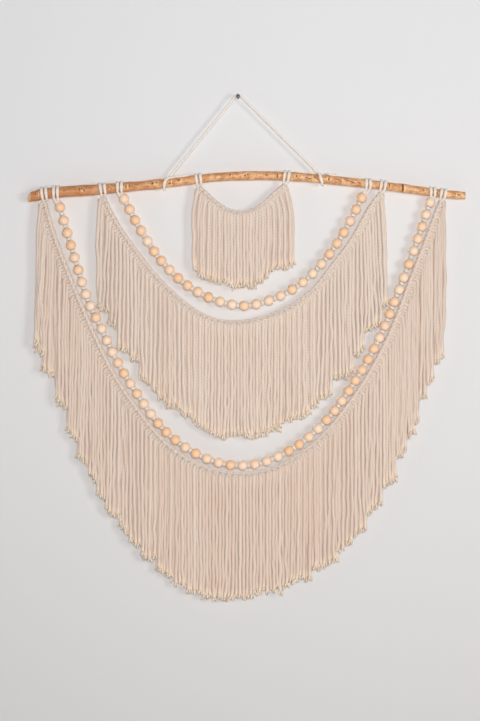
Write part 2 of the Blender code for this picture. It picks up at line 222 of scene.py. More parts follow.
# Swellings where twigs were cut off:  x, height, half length
BRANCH_KNOTS = (
    (-0.412, 0.0007, 0.010), (-0.316, 0.0008, 0.012), (-0.225, 0.0007, 0.010),
    (-0.170, 0.0010, 0.011), (0.018, 0.0006, 0.012), (0.117, 0.0010, 0.011),
    (0.338, 0.0009, 0.010), (0.448, 0.0006, 0.009),
)
# Marks in the bark:  x, degrees from under the branch, half size along and round it in mm, how far
# it slants round it for its way along, paleness, darkness. A pale mark is bare wood, a long one
# round the branch is the ring of a bud, and a dark one is a crack or the pith of a twig
SCARS = (
    (-0.4176, 95, 1.6, 1.8, 0.0, 0.0, 0.9), (-0.4118, 90, 1.2, 1.2, 0.0, 0.0, 0.9),
    (-0.4150, 92, 3.5, 3.5, 0.0, 0.45, 0.0), (-0.4086, 85, 1.0, 6.5, 0.0, 0.8, 0.0),
    (-0.3553, 95, 1.3, 1.8, 0.0, 0.1, 0.5), (-0.3190, 90, 5.0, 5.5, 0.0, 0.4, 0.0),
    (-0.3235, 95, 1.0, 3.0, 0.9, 0.0, 0.8), (-0.3150, 85, 1.2, 3.2, -0.9, 0.0, 0.7),
    (-0.3190, 102, 1.3, 1.2, 0.0, 0.0, 0.9), (-0.3180, 75, 1.2, 1.2, 0.0, 0.5, 0.0),
    (-0.2634, 95, 2.2, 4.5, 0.0, 0.35, 0.0), (-0.2640, 98, 1.2, 1.6, 0.0, 0.0, 0.7),
    (-0.2600, 80, 1.0, 2.5, 0.0, 0.0, 0.35), (-0.2257, 90, 1.2, 5.5, 0.0, 0.8, 0.0),
    (-0.2290, 88, 1.0, 2.4, 0.0, 0.0, 0.6), (-0.2225, 92, 0.9, 3.0, 0.0, 0.0, 0.4),
    (-0.2060, 97, 1.3, 1.6, 0.0, 0.1, 0.5), (-0.1749, 98, 1.3, 2.0, 0.5, 0.0, 0.8),
    (-0.1668, 103, 1.3, 1.7, 0.0, 0.0, 1.0), (-0.1700, 88, 3.8, 4.2, 0.0, 0.55, 0.0),
    (-0.1650, 78, 0.9, 4.5, -0.8, 0.7, 0.0), (-0.1363, 88, 1.0, 7.0, 0.0, 0.8, 0.0),
    (-0.1400, 75, 2.6, 1.6, 0.0, 0.0, 0.65), (-0.1330, 68, 1.0, 2.0, 0.0, 0.0, 0.6),
    (-0.1216, 102, 2.6, 1.3, 0.3, 0.0, 0.75), (-0.1166, 92, 1.0, 7.0, 0.0, 0.75, 0.0),
    (-0.0470, 100, 1.2, 5.0, 0.0, 0.3, 0.2), (-0.0133, 92, 1.0, 4.5, 0.5, 0.7, 0.0),
    (-0.0165, 104, 1.6, 1.2, 0.0, 0.0, 0.7), (-0.0110, 84, 0.9, 2.6, -0.5, 0.5, 0.3),
    (0.0170, 92, 1.0, 5.5, 0.0, 0.6, 0.0), (0.0145, 84, 1.2, 1.6, 0.0, 0.0, 0.85),
    (0.0195, 100, 1.1, 1.8, 0.0, 0.0, 0.6), (0.0342, 95, 1.2, 4.5, 0.0, 0.45, 0.0),
    (0.0580, 92, 2.6, 4.2, 0.0, 0.65, 0.0), (0.0575, 98, 0.9, 2.4, 0.4, 0.0, 0.8),
    (0.0600, 82, 1.6, 1.1, 0.0, 0.0, 0.6), (0.0800, 84, 1.0, 4.2, 1.2, 0.0, 0.75),
    (0.0850, 80, 1.8, 3.4, 0.8, 0.7, 0.0), (0.1084, 90, 0.9, 6.5, 0.0, 0.7, 0.0),
    (0.1187, 92, 3.8, 4.4, 0.0, 0.75, 0.0), (0.1192, 92, 1.2, 2.2, 0.3, 0.0, 1.0),
    (0.1400, 82, 3.0, 1.1, 0.3, 0.0, 0.55), (0.1460, 72, 3.4, 1.0, 0.2, 0.2, 0.5),
    (0.1531, 92, 1.1, 6.5, 0.2, 0.8, 0.0), (0.1613, 82, 3.2, 1.0, -0.9, 0.0, 0.7),
    (0.1560, 96, 2.2, 1.4, 0.0, 0.0, 0.45), (0.1827, 94, 1.1, 5.5, -0.2, 0.9, 0.0),
    (0.1855, 90, 1.0, 2.4, 0.0, 0.0, 1.0), (0.2060, 92, 5.0, 0.9, -0.35, 0.0, 0.8),
    (0.2138, 86, 0.9, 6.0, 0.6, 0.85, 0.0), (0.2220, 100, 4.5, 0.8, -0.4, 0.0, 0.8),
    (0.2282, 95, 1.3, 3.5, -0.6, 0.8, 0.0), (0.2330, 84, 6.5, 0.8, -0.35, 0.0, 0.85),
    (0.2420, 95, 5.0, 0.8, -0.3, 0.5, 0.0), (0.2470, 82, 3.5, 0.8, -0.4, 0.0, 0.7),
    (0.3120, 92, 2.0, 4.0, 0.0, 0.5, 0.0), (0.3095, 96, 1.1, 2.2, 0.0, 0.0, 0.7),
    (0.3150, 80, 1.6, 1.0, 0.0, 0.0, 0.5), (0.3368, 90, 1.4, 9.0, 0.2, 0.0, 1.0),
    (0.3412, 88, 1.8, 8.0, 0.2, 0.85, 0.0), (0.3823, 98, 1.8, 3.2, 0.0, 0.8, 0.0),
    (0.3800, 92, 1.0, 1.4, 0.0, 0.0, 0.6), (0.4071, 80, 1.3, 1.6, 0.0, 0.0, 0.7),
    (0.4460, 92, 1.0, 6.5, 0.0, 0.8, 0.0), (0.4440, 98, 0.9, 1.4, 0.0, 0.0, 0.7),
    (0.4518, 88, 2.0, 1.2, 0.0, 0.0, 0.75), (0.4600, 84, 2.4, 3.0, 0.0, 0.5, 0.0),
)
# The left end is cut twice:  normal of the cut, x where its plane meets the axis. The first is a
# slanting cut from above, long since dark, and the second is fresh
END_CUTS = (((-0.66, 0.0, 0.75), -0.4330), ((-0.89, -0.45, 0.0), -0.4288))
# The branch isn't quite round or even:  share of its radius, waves round it, turn along it in
# radians a metre, first turn
BRANCH_WAVES = ((0.020, 2, 37, 0.4), (0.014, 3, -61, 2.1), (0.012, 1, 143, 0.0), (0.008, 5, 210, 1.0))
BRANCH_RINGS, BRANCH_SIDES = 620, 56
CUT_RINGS = 10
CUT_LEAN = 30 * MM                   # how far along the branch rings lean towards the left cuts
PALE_RISE, DARK_DIP = 0.4 * MM, 0.5 * MM
DARK_STRENGTH = 2.1                  # in the bark's colour
BARK_COLOURS = ((0.63, 0.29, 0.11, 1), (0.42, 0.145, 0.045, 1), (0.81, 0.50, 0.26, 1))
SAWN_COLOURS = ((0.96, 0.58, 0.28, 1), (1.0, 0.70, 0.40, 1), (0.60, 0.36, 0.15, 1))
PALE_WOOD = (0.88, 0.55, 0.27, 1)
BUD_BROWN = (0.13, 0.05, 0.022, 1)


def smooth(table, at):
    """The columns of a table after its first, at places along its first: a cubic over each stretch
    whose slope at a row comes from the rows on either side."""
    table = np.asarray(table, float)
    at = np.clip(np.asarray(at, float), table[0, 0], table[-1, 0])
    knots, values = table[:, 0], table[:, 1:]
    slopes = np.gradient(values, knots, axis=0)
    row = np.clip(np.searchsorted(knots, at, side="right") - 1, 0, len(knots) - 2)
    span = (knots[row + 1] - knots[row])[:, None]
    part = (at - knots[row])[:, None] / span
    start, end = values[row], values[row + 1]
    lift = part * (1 - part)
    return (
        start + (end - start) * part * part * (3 - 2 * part)
        + span * lift * ((1 - part) * slopes[row] - part * slopes[row + 1])
    )


def branch_at(x):
    """(z of the branch's axis, its radius) at each x, with a bell-shaped swelling at each knot."""
    x = np.atleast_1d(np.asarray(x, float))
    z, radius = smooth(BRANCH, x).T
    for knot_x, height, reach in BRANCH_KNOTS:
        radius = radius + height * np.exp(-(((x - knot_x) / reach) ** 2))
    return z, radius


def grid_quads(rows, columns):
    """The faces of a tube whose points are rows of a ring of columns, as four numbers each: they
    look outwards where a ring runs anticlockwise about the way from row to row."""
    row, column = np.meshgrid(np.arange(rows - 1), np.arange(columns), indexing="ij")
    beyond = (column + 1) % columns
    here, there = row * columns, (row + 1) * columns
    return np.stack([here + column, here + beyond, there + beyond, there + column], -1).reshape(-1, 4)


def end_fans(rows, columns):
    """The triangles that close both ends of such a tube to two points that follow its own."""
    ring = np.arange(columns)
    beyond = (ring + 1) % columns
    top, tips = (rows - 1) * columns, rows * columns
    near = np.stack([np.full(columns, tips), beyond, ring], -1)
    far = np.stack([np.full(columns, tips + 1), top + ring, top + beyond], -1)
    return np.concatenate([near, far])


def solid(name, points, quads, triangles, materials, uv=None, marks=None, second=None):
    """A piece of the hanging from whole arrays: its points, its faces of four and of three
    corners, a (u, v) for each corner in that order, and numbers or vectors for each point. second
    marks the faces, in that order, that have the second material."""
    data = bpy.data.meshes.new(name)
    data.vertices.add(len(points))
    data.vertices.foreach_set("co", np.asarray(points, np.float32).ravel())
    corners = np.concatenate([quads.ravel(), triangles.ravel()]).astype(np.int32)
    sizes = np.repeat([4, 3], [len(quads), len(triangles)])
    starts = np.concatenate([[0], np.cumsum(sizes)[:-1]]).astype(np.int32)
    data.loops.add(len(corners))
    data.loops.foreach_set("vertex_index", corners)
    data.polygons.add(len(sizes))
    data.polygons.foreach_set("loop_start", starts)
    data.update(calc_edges=True)
    if uv is not None:
        data.uv_layers.new(name="cord").data.foreach_set("uv", np.asarray(uv, np.float32).ravel())
    for label, values in (marks or {}).items():
        vector = np.ndim(values) == 2
        mark = data.attributes.new(label, "FLOAT_VECTOR" if vector else "FLOAT", "POINT")
        mark.data.foreach_set("vector" if vector else "value", np.asarray(values, np.float32).ravel())
    for material in materials:
        data.materials.append(material)
    if second is not None:
        data.polygons.foreach_set("material_index", np.asarray(second, np.int32))
    data.shade_smooth()
    item = bpy.data.objects.new(name, data)
    bpy.context.scene.collection.objects.link(item)
    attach(item, "root")
    return item


def node_group(name, inputs, outputs):
    """A new group of shader nodes, with the type of each input: (group, what comes in, its exit)."""
    group = bpy.data.node_groups.new(name, "ShaderNodeTree")
    for way, sockets in (("INPUT", inputs), ("OUTPUT", dict.fromkeys(outputs, "Float"))):
        for label, kind in sockets.items():
            group.interface.new_socket(label, in_out=way, socket_type="NodeSocket" + kind)
    entry, leave = group.nodes.new("NodeGroupInput"), group.nodes.new("NodeGroupOutput")
    return group, entry.outputs, leave


def wood_grain_group():
    """Shared by all bare wood. Rings about the vector's own x axis, bent by noise, and short pores
    drawn out along it. Vector is in metres and Pitch is the rings' spacing in metres."""
    group, given, leave = node_group("wood_grain", {"Vector": "Vector", "Pitch": "Float"},
                                     ("Rings", "Pores", "Height"))
    vector = given["Vector"]
    bend = noise(group, vector, 70.0, 2.0)
    parts = add(group, "SeparateXYZ", Vector=vector)
    y, z = parts.outputs["Y"], parts.outputs["Z"]
    out = maths(group, "SQRT", plus(group, times(group, y, y), times(group, z, z)))
    turns = plus(group, maths(group, "DIVIDE", out, given["Pitch"]), times(group, bend, 2.5))
    rings = half_wave(group, times(group, turns, 6.2832))
    drawn = add(group, "Mapping", Vector=vector, Scale=(0.12, 1.0, 1.0)).outputs[0]
    pores = remap(group, noise(group, drawn, 1400.0, 2.0), 0.35, 0.7)
    plug(group, leave, Rings=rings, Pores=pores,
         Height=plus(group, times(group, rings, 0.3), pores))
    return group


wood_grain = wood_grain_group()

bark, tree, shader = nodes_of("varnished_bark")
place = own_place(tree)
drawn = add(tree, "Mapping", Vector=place, Scale=(0.22, 1.0, 1.0)).outputs[0]
streaks = noise(tree, drawn, 380.0, 5.0, Roughness=0.65)
clouds, flecks = noise(tree, place, 95.0, 4.0), noise(tree, place, 300.0, 3.0)
tone = mixed(tree, remap(tree, clouds, 0.42, 0.62), BARK_COLOURS[0], BARK_COLOURS[2])
tone = mixed(tree, remap(tree, streaks, 0.45, 0.72, 0, 0.9), tone, BARK_COLOURS[1])
tone = mixed(tree, remap(tree, flecks, 0.58, 0.68, 0, 0.65), tone, BUD_BROWN)
far_left = remap(tree, add(tree, "SeparateXYZ", Vector=place).outputs["X"], -0.43, -0.06, 0.8, 0.0)
tone = mixed(tree, far_left, tone, BARK_COLOURS[1])
pale, dark = mark_of(tree, "pale"), mark_of(tree, "dark")
ragged = times(tree, streaks, 2.6)
tone = mixed(tree, times(tree, pale, ragged), tone, PALE_WOOD)
tone = mixed(tree, times(tree, dark, ragged), tone, BUD_BROWN)
height = maths(tree, "SUBTRACT", plus(tree, streaks, times(tree, flecks, 0.4)), dark)
plug(tree, shader, Base_Color=tone, Roughness=remap(tree, streaks, 0.3, 0.7, 0.42, 0.62),
     Normal=bump(tree, 0.5, 0.0005, height))

sawn_wood, tree, shader = nodes_of("sawn_wood")
centred = add(tree, "Mapping", Vector=own_place(tree), Location=(0, 0.018, 0.205)).outputs[0]
grain = add(tree, "Group", {"node_tree": wood_grain}, Vector=centred, Pitch=0.0016).outputs
tone = mixed(tree, grain["Rings"], *SAWN_COLOURS[:2])
plug(tree, shader, Base_Color=mixed(tree, times(tree, grain["Pores"], 0.3), tone, SAWN_COLOURS[2]),
     Roughness=0.75, Normal=bump(tree, 0.4, 0.0003, grain["Height"]))


def left_cut(apart):
    """For points of the left end by their y and z from the axis: x in the plane of whichever cut
    goes deeper there, and whether that is the fresh one."""
    planes = np.stack([x - apart @ np.array(normal[1:]) / normal[0] for normal, x in END_CUTS])
    return planes.max(0), planes.argmax(0) == 1


def make_branch():
    """Rings about the axis: the radius is the branch's, times slow waves round and along it, and
    dips or rises at the scars. The left rings lean until the first lies in the planes of the cuts.
    Each end is closed with rings drawn in to its middle."""
    x = np.linspace(BRANCH[0][0], BRANCH[-1][0], BRANCH_RINGS)[:, None]
    turn = np.linspace(0, 2 * math.pi, BRANCH_SIDES, endpoint=False)[None, ::-1]
    z, radius = branch_at(x[:, 0])
    z, radius = z[:, None], radius[:, None]
    lean = np.clip(1 - (x - x[0]) / CUT_LEAN, 0, 1)
    lean = lean ** 2 * (3 - 2 * lean)
    uneven = sum(share * np.sin(times_round * turn + along * x + first)
                 for share, times_round, along, first in BRANCH_WAVES)
    pale, dark = np.zeros((BRANCH_RINGS, BRANCH_SIDES)), np.zeros((BRANCH_RINGS, BRANCH_SIDES))
    for scar_x, degrees, along, around, slant, paleness, darkness in SCARS:
        away = (turn - math.radians(degrees) + math.pi) % (2 * math.pi) - math.pi
        aside = away * radius - slant * (x - scar_x)
        shape = np.exp(-(((x - scar_x) / (along * MM)) ** 2 + (aside / (around * MM)) ** 2) ** 1.5)
        pale, dark = pale + paleness * shape, dark + darkness * shape
    reach = radius * (1 + uneven) + (PALE_RISE * pale - DARK_DIP * dark)
    apart = np.stack([-reach * np.sin(turn), -reach * np.cos(turn)], -1)
    shift = (left_cut(apart)[0] - x[0]) * lean
    axis = np.stack([np.full_like(z, HANG_Y), z], -1)
    body = np.concatenate([(x + shift)[..., None], axis + apart], -1)
    inward = np.linspace(0, 1, CUT_RINGS + 1)[1:-1, None, None]
    left = apart[0] * inward
    left_x, fresh = left_cut(left)
    left = np.concatenate([left_x[..., None], axis[0] + left], -1)
    right_end = np.array([BRANCH[-1][0], *axis[-1, 0]])
    right = right_end + (body[-1] - right_end) * inward[::-1]
    left_end = np.array([left_cut(np.zeros(2))[0], *axis[0, 0]])
    rows = np.concatenate([left, body, right])
    points = np.concatenate([rows.reshape(-1, 3), [left_end, right_end]])
    quads = grid_quads(len(rows), BRANCH_SIDES)
    sawn = np.zeros((len(rows) - 1, BRANCH_SIDES), int)
    sawn[: CUT_RINGS - 1] = fresh
    sawn[-(CUT_RINGS - 1):] = 1
    spare = np.zeros((CUT_RINGS - 1) * BRANCH_SIDES)
    marks = {
        "pale": np.concatenate([spare, pale.ravel(), spare, [0, 0]]),
        "dark": np.concatenate([spare, DARK_STRENGTH * dark.ravel(), spare, [0, 0]]),
    }
    item = solid("branch_peeled", points, quads, end_fans(len(rows), BRANCH_SIDES),
                 [bark, sawn_wood], marks=marks,
                 second=np.concatenate([sawn.ravel(), np.ones(2 * BRANCH_SIDES, int)]))
    item.data.set_sharp_from_angle(angle=math.radians(45))
    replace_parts(item, "branch")


make_branch()

# ---- The nail ---------------------------------------------------------------------------------
# A plain steel nail with a flat dark head, driven into the wall. Its CAD part is shown as it is.
nail_steel, tree, shader = nodes_of("dark_nail_steel")
scuffs = noise(tree, own_place(tree), 900.0, 3.0)
tone = mixed(tree, remap(tree, scuffs, 0.4, 0.7), (0.055, 0.055, 0.065, 1), (0.16, 0.16, 0.18, 1))
plug(tree, shader, Base_Color=tone, Metallic=0.7,
     Roughness=remap(tree, scuffs, 0.3, 0.7, 0.35, 0.55), Normal=bump(tree, 0.2, 0.0002, scuffs))
nail_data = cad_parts["nail"].data
nail_data.materials.clear()
nail_data.materials.append(nail_steel)

# ---- The hanging cord -------------------------------------------------------------------------
# A 0.65 m length of three-ply twisted cotton cord, 4.7 mm thick. It goes once round the branch at
# either end, with a short tail lying on top, and runs taut over the nail between them. Where cord
# bears on the wood it is pressed flat and wide.
CORD_RADIUS = 2.35 * MM
CORD_WIDER = 1.3 * MM                # how much its radius grows where it lies on the branch
PRESSED = 0.56                       # how thick it is there, for its width
PLY_PITCH = 19 * MM                  # a ply goes once round the cord in this length
PLY_GROOVE = 0.16                    # how much nearer the middle the grooves between plies lie
GOLDEN_TURN = 2.4                    # each cord of many starts turned by this from the one before
NAIL_SHANK_RADIUS = 1.6 * MM
# Each tie:  x, degrees from under the branch towards the viewer
TIE_LEFT = (
    (-0.1030, 150), (-0.1190, 150), (-0.1340, 149), (-0.1445, 138), (-0.1495, 95),
    (-0.1512, 50), (-0.1512, 5), (-0.1505, -40), (-0.1490, -85), (-0.1460, -130), (-0.1405, -172),
)
TIE_RIGHT = (
    (0.1635, 178), (0.1664, 138), (0.1688, 95), (0.1714, 50), (0.1732, 5), (0.1744, -40),
    (0.1756, -85), (0.1772, -130), (0.1802, -172), (0.1868, -196), (0.1940, -206), (0.2010, -208),
)
TIE_STEP = 45                        # degrees between those points
NAIL_BEND = (139, 93, 47)            # degrees at which the cord lies on the nail's shank
NAIL_BEND_STEP = 24
RISER_SHARES = (0.05, 0.35, 0.65, 0.95)   # of the way from branch to nail, where it has a point
FINE_STEPS = 60                      # steps of a smooth line for each of its given points
CORD_SIDES = 9
CORD_RINGS = 460                     # of the hanging cord
COTTON_CREAM = (0.795, 0.70, 0.622, 1)
COTTON_SHADE = (0.66, 0.50, 0.405, 1)
COTTON_WHITE = (0.88, 0.81, 0.74, 1)
COTTON_END = (0.93, 0.735, 0.565, 1)


def way_along(points):
    """How far along their own line the points of a row lie."""
    return np.concatenate([[0.0], np.cumsum(np.linalg.norm(np.diff(points, axis=0), axis=1))])


def picked(points, way, at):
    """Points of a line at these distances, where way gives those of its own points."""
    return np.column_stack([np.interp(at, way, side) for side in points.T])


def unit(vectors):
    return vectors / np.linalg.norm(vectors, axis=-1, keepdims=True)


def from_ends(count):
    """For each of count places in a row, its steps from the nearer end."""
    return np.minimum(np.arange(count), np.arange(count)[::-1])


def even_line(points, count):
    """A smooth line through the points, as count points at equal steps of its length."""
    points = np.asarray(points, float)
    knots = way_along(points)
    fine = smooth(np.column_stack([knots, points]), np.linspace(0, knots[-1], FINE_STEPS * len(points)))
    way = way_along(fine)
    return picked(fine, way, np.linspace(0, way[-1], count))


def line_length(line):
    return float(np.linalg.norm(np.diff(line, axis=0), axis=1).sum())


def round_branch(x, degrees, step, off=0.0):
    """A point of a cord on the branch, degrees from straight below towards the viewer. It stands
    off so far that the cord stays clear of the wood halfway to the next point, a step on."""
    z, radius = branch_at(x)
    reach = (radius[0] + CLEAR + CORD_RADIUS + off) / math.cos(math.radians(step / 2))
    angle = math.radians(degrees)
    return x, HANG_Y - reach * math.sin(angle), z[0] - reach * math.cos(angle)


def carried_frames(lines):
    """(tangents, side vectors, across) along each of several lines of points: the side is carried
    from point to point and made square to the line at each, so it never twists about it."""
    tangents = unit(np.gradient(lines, axis=1))
    sides = np.empty_like(lines)
    side = np.cross(tangents[:, 0], (0.31, -0.83, 0.46))
    for place in range(lines.shape[1]):
        here = tangents[:, place]
        side = unit(side - here * (side * here).sum(1, keepdims=True))
        sides[:, place] = side
    return tangents, sides, np.cross(tangents, sides)


def cord_mesh(lines, radii, sides, tone=0.5, end=0.0, groove=PLY_GROOVE, pitch=PLY_PITCH, cap=0.4):
    """Twisted cords, one along each of several lines of points (cords, rings, 3), as whole arrays.
    A corner at angle a round the cord lies a radius out, less the groove where cos 3a is -1, and
    the whole ring turns once in a pitch, so three plies wind along the cord. Both ends are closed
    to a middle point that stands out by cap radii."""
    cords, rings = lines.shape[:2]
    tangents, out, across = carried_frames(lines)
    steps = np.linalg.norm(np.diff(lines, axis=1), axis=2)
    along = np.concatenate([np.zeros((cords, 1)), np.cumsum(steps, axis=1)], axis=1)
    corner = 2 * math.pi * np.arange(sides) / sides
    shape = 1 - groove * (0.5 - 0.5 * np.cos(3 * corner))
    first_turn = GOLDEN_TURN * np.arange(cords)[:, None, None]
    angle = corner + (2 * math.pi / pitch) * along[..., None] + first_turn
    radii = np.broadcast_to(radii, (cords, rings))
    reach = radii[..., None] * shape
    walls = (
        lines[:, :, None] + out[:, :, None] * (reach * np.cos(angle))[..., None]
        + across[:, :, None] * (reach * np.sin(angle))[..., None]
    )
    first = lines[:, 0] - tangents[:, 0] * radii[:, :1] * cap
    last = lines[:, -1] + tangents[:, -1] * radii[:, -1:] * cap
    size = rings * sides + 2
    points = np.concatenate([walls.reshape(cords, -1, 3), first[:, None], last[:, None]], axis=1)
    base = (np.arange(cords) * size)[:, None, None]
    quads = (grid_quads(rings, sides)[None] + base).reshape(-1, 4)
    triangles = (end_fans(rings, sides)[None] + base).reshape(-1, 3)
    ring = np.arange(sides)
    u, v = np.broadcast_to(ring / sides, (cords, rings - 1, sides)), along[..., None]
    low = np.broadcast_to(v[:, :-1], u.shape)
    high = np.broadcast_to(v[:, 1:], u.shape)
    wide = u + 1 / sides
    quad_uv = np.stack([u, low, wide, low, wide, high, u, high], -1).reshape(-1, 2)
    fan_v = np.stack([np.zeros(cords), along[:, -1]], 1)[:, :, None]
    fan_u = np.broadcast_to(ring / sides, (cords, 2, sides))
    fan_v = np.broadcast_to(fan_v, fan_u.shape)
    middle = fan_u + 0.5 / sides
    fan_uv = np.stack([middle, fan_v, fan_u, fan_v, fan_u + 1 / sides, fan_v], -1).reshape(-1, 2)
    marks = []
    for mark in (tone, end):
        mark = np.asarray(mark, float)
        mark = np.broadcast_to(mark[:, None] if mark.shape == (cords,) else mark, (cords, rings))
        marks.append(np.concatenate([np.repeat(mark, sides, axis=1), mark[:, :1], mark[:, -1:]], 1))
    return {
        "points": points.reshape(-1, 3), "quads": quads, "triangles": triangles,
        "uv": (quad_uv, fan_uv), "tone": marks[0].ravel(), "end": marks[1].ravel(),
    }


def joined(*meshes):
    """Several of those meshes as one."""
    starts = np.cumsum([0] + [len(m["points"]) for m in meshes])
    whole = {key: np.concatenate([m[key] for m in meshes]) for key in ("points", "tone", "end")}
    for key in ("quads", "triangles"):
        whole[key] = np.concatenate([m[key] + start for m, start in zip(meshes, starts)])
    whole["uv"] = tuple(np.concatenate([m["uv"][part] for m in meshes]) for part in (0, 1))
    return whole


def cotton_piece(name, mesh, material):
    marks = {"tone": mesh["tone"], "end": mesh["end"]}
    return solid(name, mesh["points"], mesh["quads"], mesh["triangles"], [material],
                 uv=np.concatenate(mesh["uv"]), marks=marks)


def twisted_cotton_group():
    """Shared by all cord. u runs once round the cord and v along it in metres. Groove rises to 1 in the
    three grooves between plies, where the cord's colour gets painted shade, Fibre is fine noise drawn
    out along the cord, Yarn is the slanting lines of the yarns in each ply, and Height is their relief."""
    group, given, leave = node_group("twisted_cotton", {"Yarns": "Float"},
                                     ("Groove", "Fibre", "Yarn", "Height"))
    uv = add(group, "UVMap", {"uv_map": "cord"}).outputs["UV"]
    parts = add(group, "SeparateXYZ", Vector=uv).outputs
    turn, along = times(group, parts["X"], 2 * math.pi), parts["Y"]
    groove = maths(group, "MULTIPLY_ADD", maths(group, "COSINE", times(group, turn, 3.0)), -0.5, 0.5)
    round_it = add(
        group, "CombineXYZ", X=times(group, maths(group, "COSINE", turn), 2.2),
        Y=times(group, maths(group, "SINE", turn), 2.2), Z=times(group, along, 90.0),
    ).outputs[0]
    fibre = remap(group, noise(group, round_it, 3.0, 4.0, Roughness=0.7), 0.3, 0.7)
    yarn = half_wave(group, plus(group, times(group, turn, given["Yarns"]), times(group, along, 2600.0)))
    height = plus(group, times(group, fibre, 0.8), times(group, yarn, 0.35))
    height = maths(group, "SUBTRACT", height, times(group, groove, 1.2))
    plug(group, leave, Groove=groove, Fibre=fibre, Yarn=yarn, Height=height)
    return group


twisted_cotton = twisted_cotton_group()


def cotton(name, light, shade):
    """Cotton cord of one colour, with painted shade in its grooves, uneven from cord to cord by tone,
    which on the fringe also carries painted shade, and yellower where end says that it is cut and
    frayed."""
    material, tree, shader = nodes_of(name)
    twist = add(tree, "Group", {"node_tree": twisted_cotton}, Yarns=9.0).outputs
    # Painted shade in the ply grooves, with the fibre and yarn marks
    painted_groove_shade_and_fibres = times(tree, twist["Groove"], 0.5)
    for part, share in (("Fibre", 0.22), ("Yarn", 0.10)):
        painted_groove_shade_and_fibres = plus(tree, painted_groove_shade_and_fibres, times(tree, twist[part], share))
    colour = mixed(tree, painted_groove_shade_and_fibres, light, shade)
    # Tone mixes in the shade colour: a random share from cord to cord, and on the fringe also painted
    # shade on strands behind and on the outer swag
    colour = mixed(tree, remap(tree, mark_of(tree, "tone"), 0, 1, 0.0, 0.5), colour, shade)
    colour = mixed(tree, times(tree, mark_of(tree, "end"), 0.8), colour, COTTON_END)
    plug(tree, shader, Base_Color=colour, Roughness=0.92, Specular_IOR_Level=0.2,
         Sheen_Weight=0.3, Sheen_Roughness=0.5, Subsurface_Weight=0.4,
         Subsurface_Radius=(1.0, 0.88, 0.78), Subsurface_Scale=0.0035,
         Normal=bump(tree, 0.55, 0.0006, twist["Height"]))
    return material


white_cotton = cotton("white_cotton_cord", COTTON_WHITE, COTTON_CREAM)


def hanging_cord_line(count):
    """The cord's middle from the tie at the left, over the nail, to the tie at the right."""
    over = (NAIL_SHANK_RADIUS + CLEAR + CORD_RADIUS) / math.cos(math.radians(NAIL_BEND_STEP))
    bend = [(over * math.cos(math.radians(a)), HANG_Y, over * math.sin(math.radians(a)))
            for a in NAIL_BEND]
    left = [round_branch(x, a, TIE_STEP) for x, a in TIE_LEFT]
    right = [round_branch(x, a, TIE_STEP) for x, a in TIE_RIGHT]

    def taut(low, high):
        return [tuple(np.add(low, np.subtract(high, low) * share)) for share in RISER_SHARES]

    return even_line(left + taut(left[-1], bend[0]) + bend + taut(bend[-1], right[0]) + right, count)


def pressed(points):
    """Points of a cord, or of its surface, with its distance from the wood shrunk to a share where
    it lies on the branch. Straight under the branch, where it leaves it, nothing changes."""
    z, radius = branch_at(points[:, 0])
    aside, above = points[:, 1] - HANG_Y, points[:, 2] - z
    far = np.hypot(aside, above)
    turned = np.degrees(np.arccos(np.clip(-above / far, -1, 1)))
    share = np.clip((turned - 15) / 40, 0, 1) * np.clip((radius + 10 * MM - far) / (3 * MM), 0, 1)
    flat = radius + 0.15 * MM + PRESSED * (far - radius + 0.4 * MM)
    scale = 1 + share * (flat / far - 1)
    return np.column_stack([points[:, 0], HANG_Y + aside * scale, z + above * scale])


def cord_on_branch(name, line, tone, near_end):
    """A cord along a line of points, wider and flatter where it lies on the branch. Returns it and
    the line of its middle."""
    z, radius = branch_at(line[:, 0])
    off = np.hypot(line[:, 1] - HANG_Y, line[:, 2] - z) - radius
    lying = np.clip((6 * MM - off) / (2 * MM), 0, 1) * (line[:, 2] > z - 0.8 * radius)
    lying = np.convolve(np.pad(lying, 3, mode="edge"), np.ones(7) / 7, "valid")
    radii = (CORD_RADIUS + CORD_WIDER * lying) * (1 + 0.12 * near_end)
    mesh = cord_mesh(line[None], radii, CORD_SIDES, tone, (near_end * 0.5)[None])
    mesh["points"] = pressed(mesh["points"])
    return cotton_piece(name, mesh, white_cotton), pressed(line)


near_end = np.clip(1 - from_ends(CORD_RINGS) / 4, 0, 1)
cord, line = cord_on_branch("hanging_cord_twisted", hanging_cord_line(CORD_RINGS), 0.1, near_end)
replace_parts(cord, "hanging_cord")

# ---- The bead garlands ------------------------------------------------------------------------
# Turned beech beads, 20 mm across, are threaded on cotton cord with a small knot between each two.
# Either end of the cord is doubled over the branch, and its two legs meet in a knot.
BEAD_RADIUS = 10.5 * MM
BORE_RADIUS = 2.9 * MM
BEAD_ROWS, BEAD_SIDES = 18, 20
HITCH_STEP = 15                      # degrees between the points of a cord that goes round the branch
HITCH_TURN = tuple(range(35, 265, HITCH_STEP))
HITCH_TAIL = ((-1.6, -3.4, -2.0),)      # its free leg's end, from the end of the line, in mm
WRAP_RADIUS = 1.9 * MM
WRAP_REACH = 4.3 * MM
WRAP_RISE, WRAP_TURNS = 3.2 * MM, 1.6
WRAP_RINGS, WRAP_SIDES = 22, 6
WRAP_PITCH = 9 * MM                  # of its plies
END_KNOT = 11 * MM                   # from the outermost beads to the knots under the hitches
STRING_STEP = 2.4 * MM
BEAD_COLOURS = ((0.86, 0.60, 0.42, 1), (0.87, 0.70, 0.55, 1), (0.85, 0.52, 0.30, 1))
PORE_BROWN = (0.70, 0.42, 0.22, 1)
OUTER_STRING = (
    (-0.3651, -0.2263), (-0.3354, -0.3288), (-0.3032, -0.4282), (-0.2796, -0.4762),
    (-0.2582, -0.5230), (-0.2080, -0.6075), (-0.1472, -0.6872), (-0.0884, -0.7305),
    (-0.0166, -0.7546), (0.0326, -0.7536), (0.1023, -0.7269), (0.1802, -0.6634),
    (0.2396, -0.5824), (0.2888, -0.4953), (0.3288, -0.3979), (0.3590, -0.3173), (0.3931, -0.2168),
)
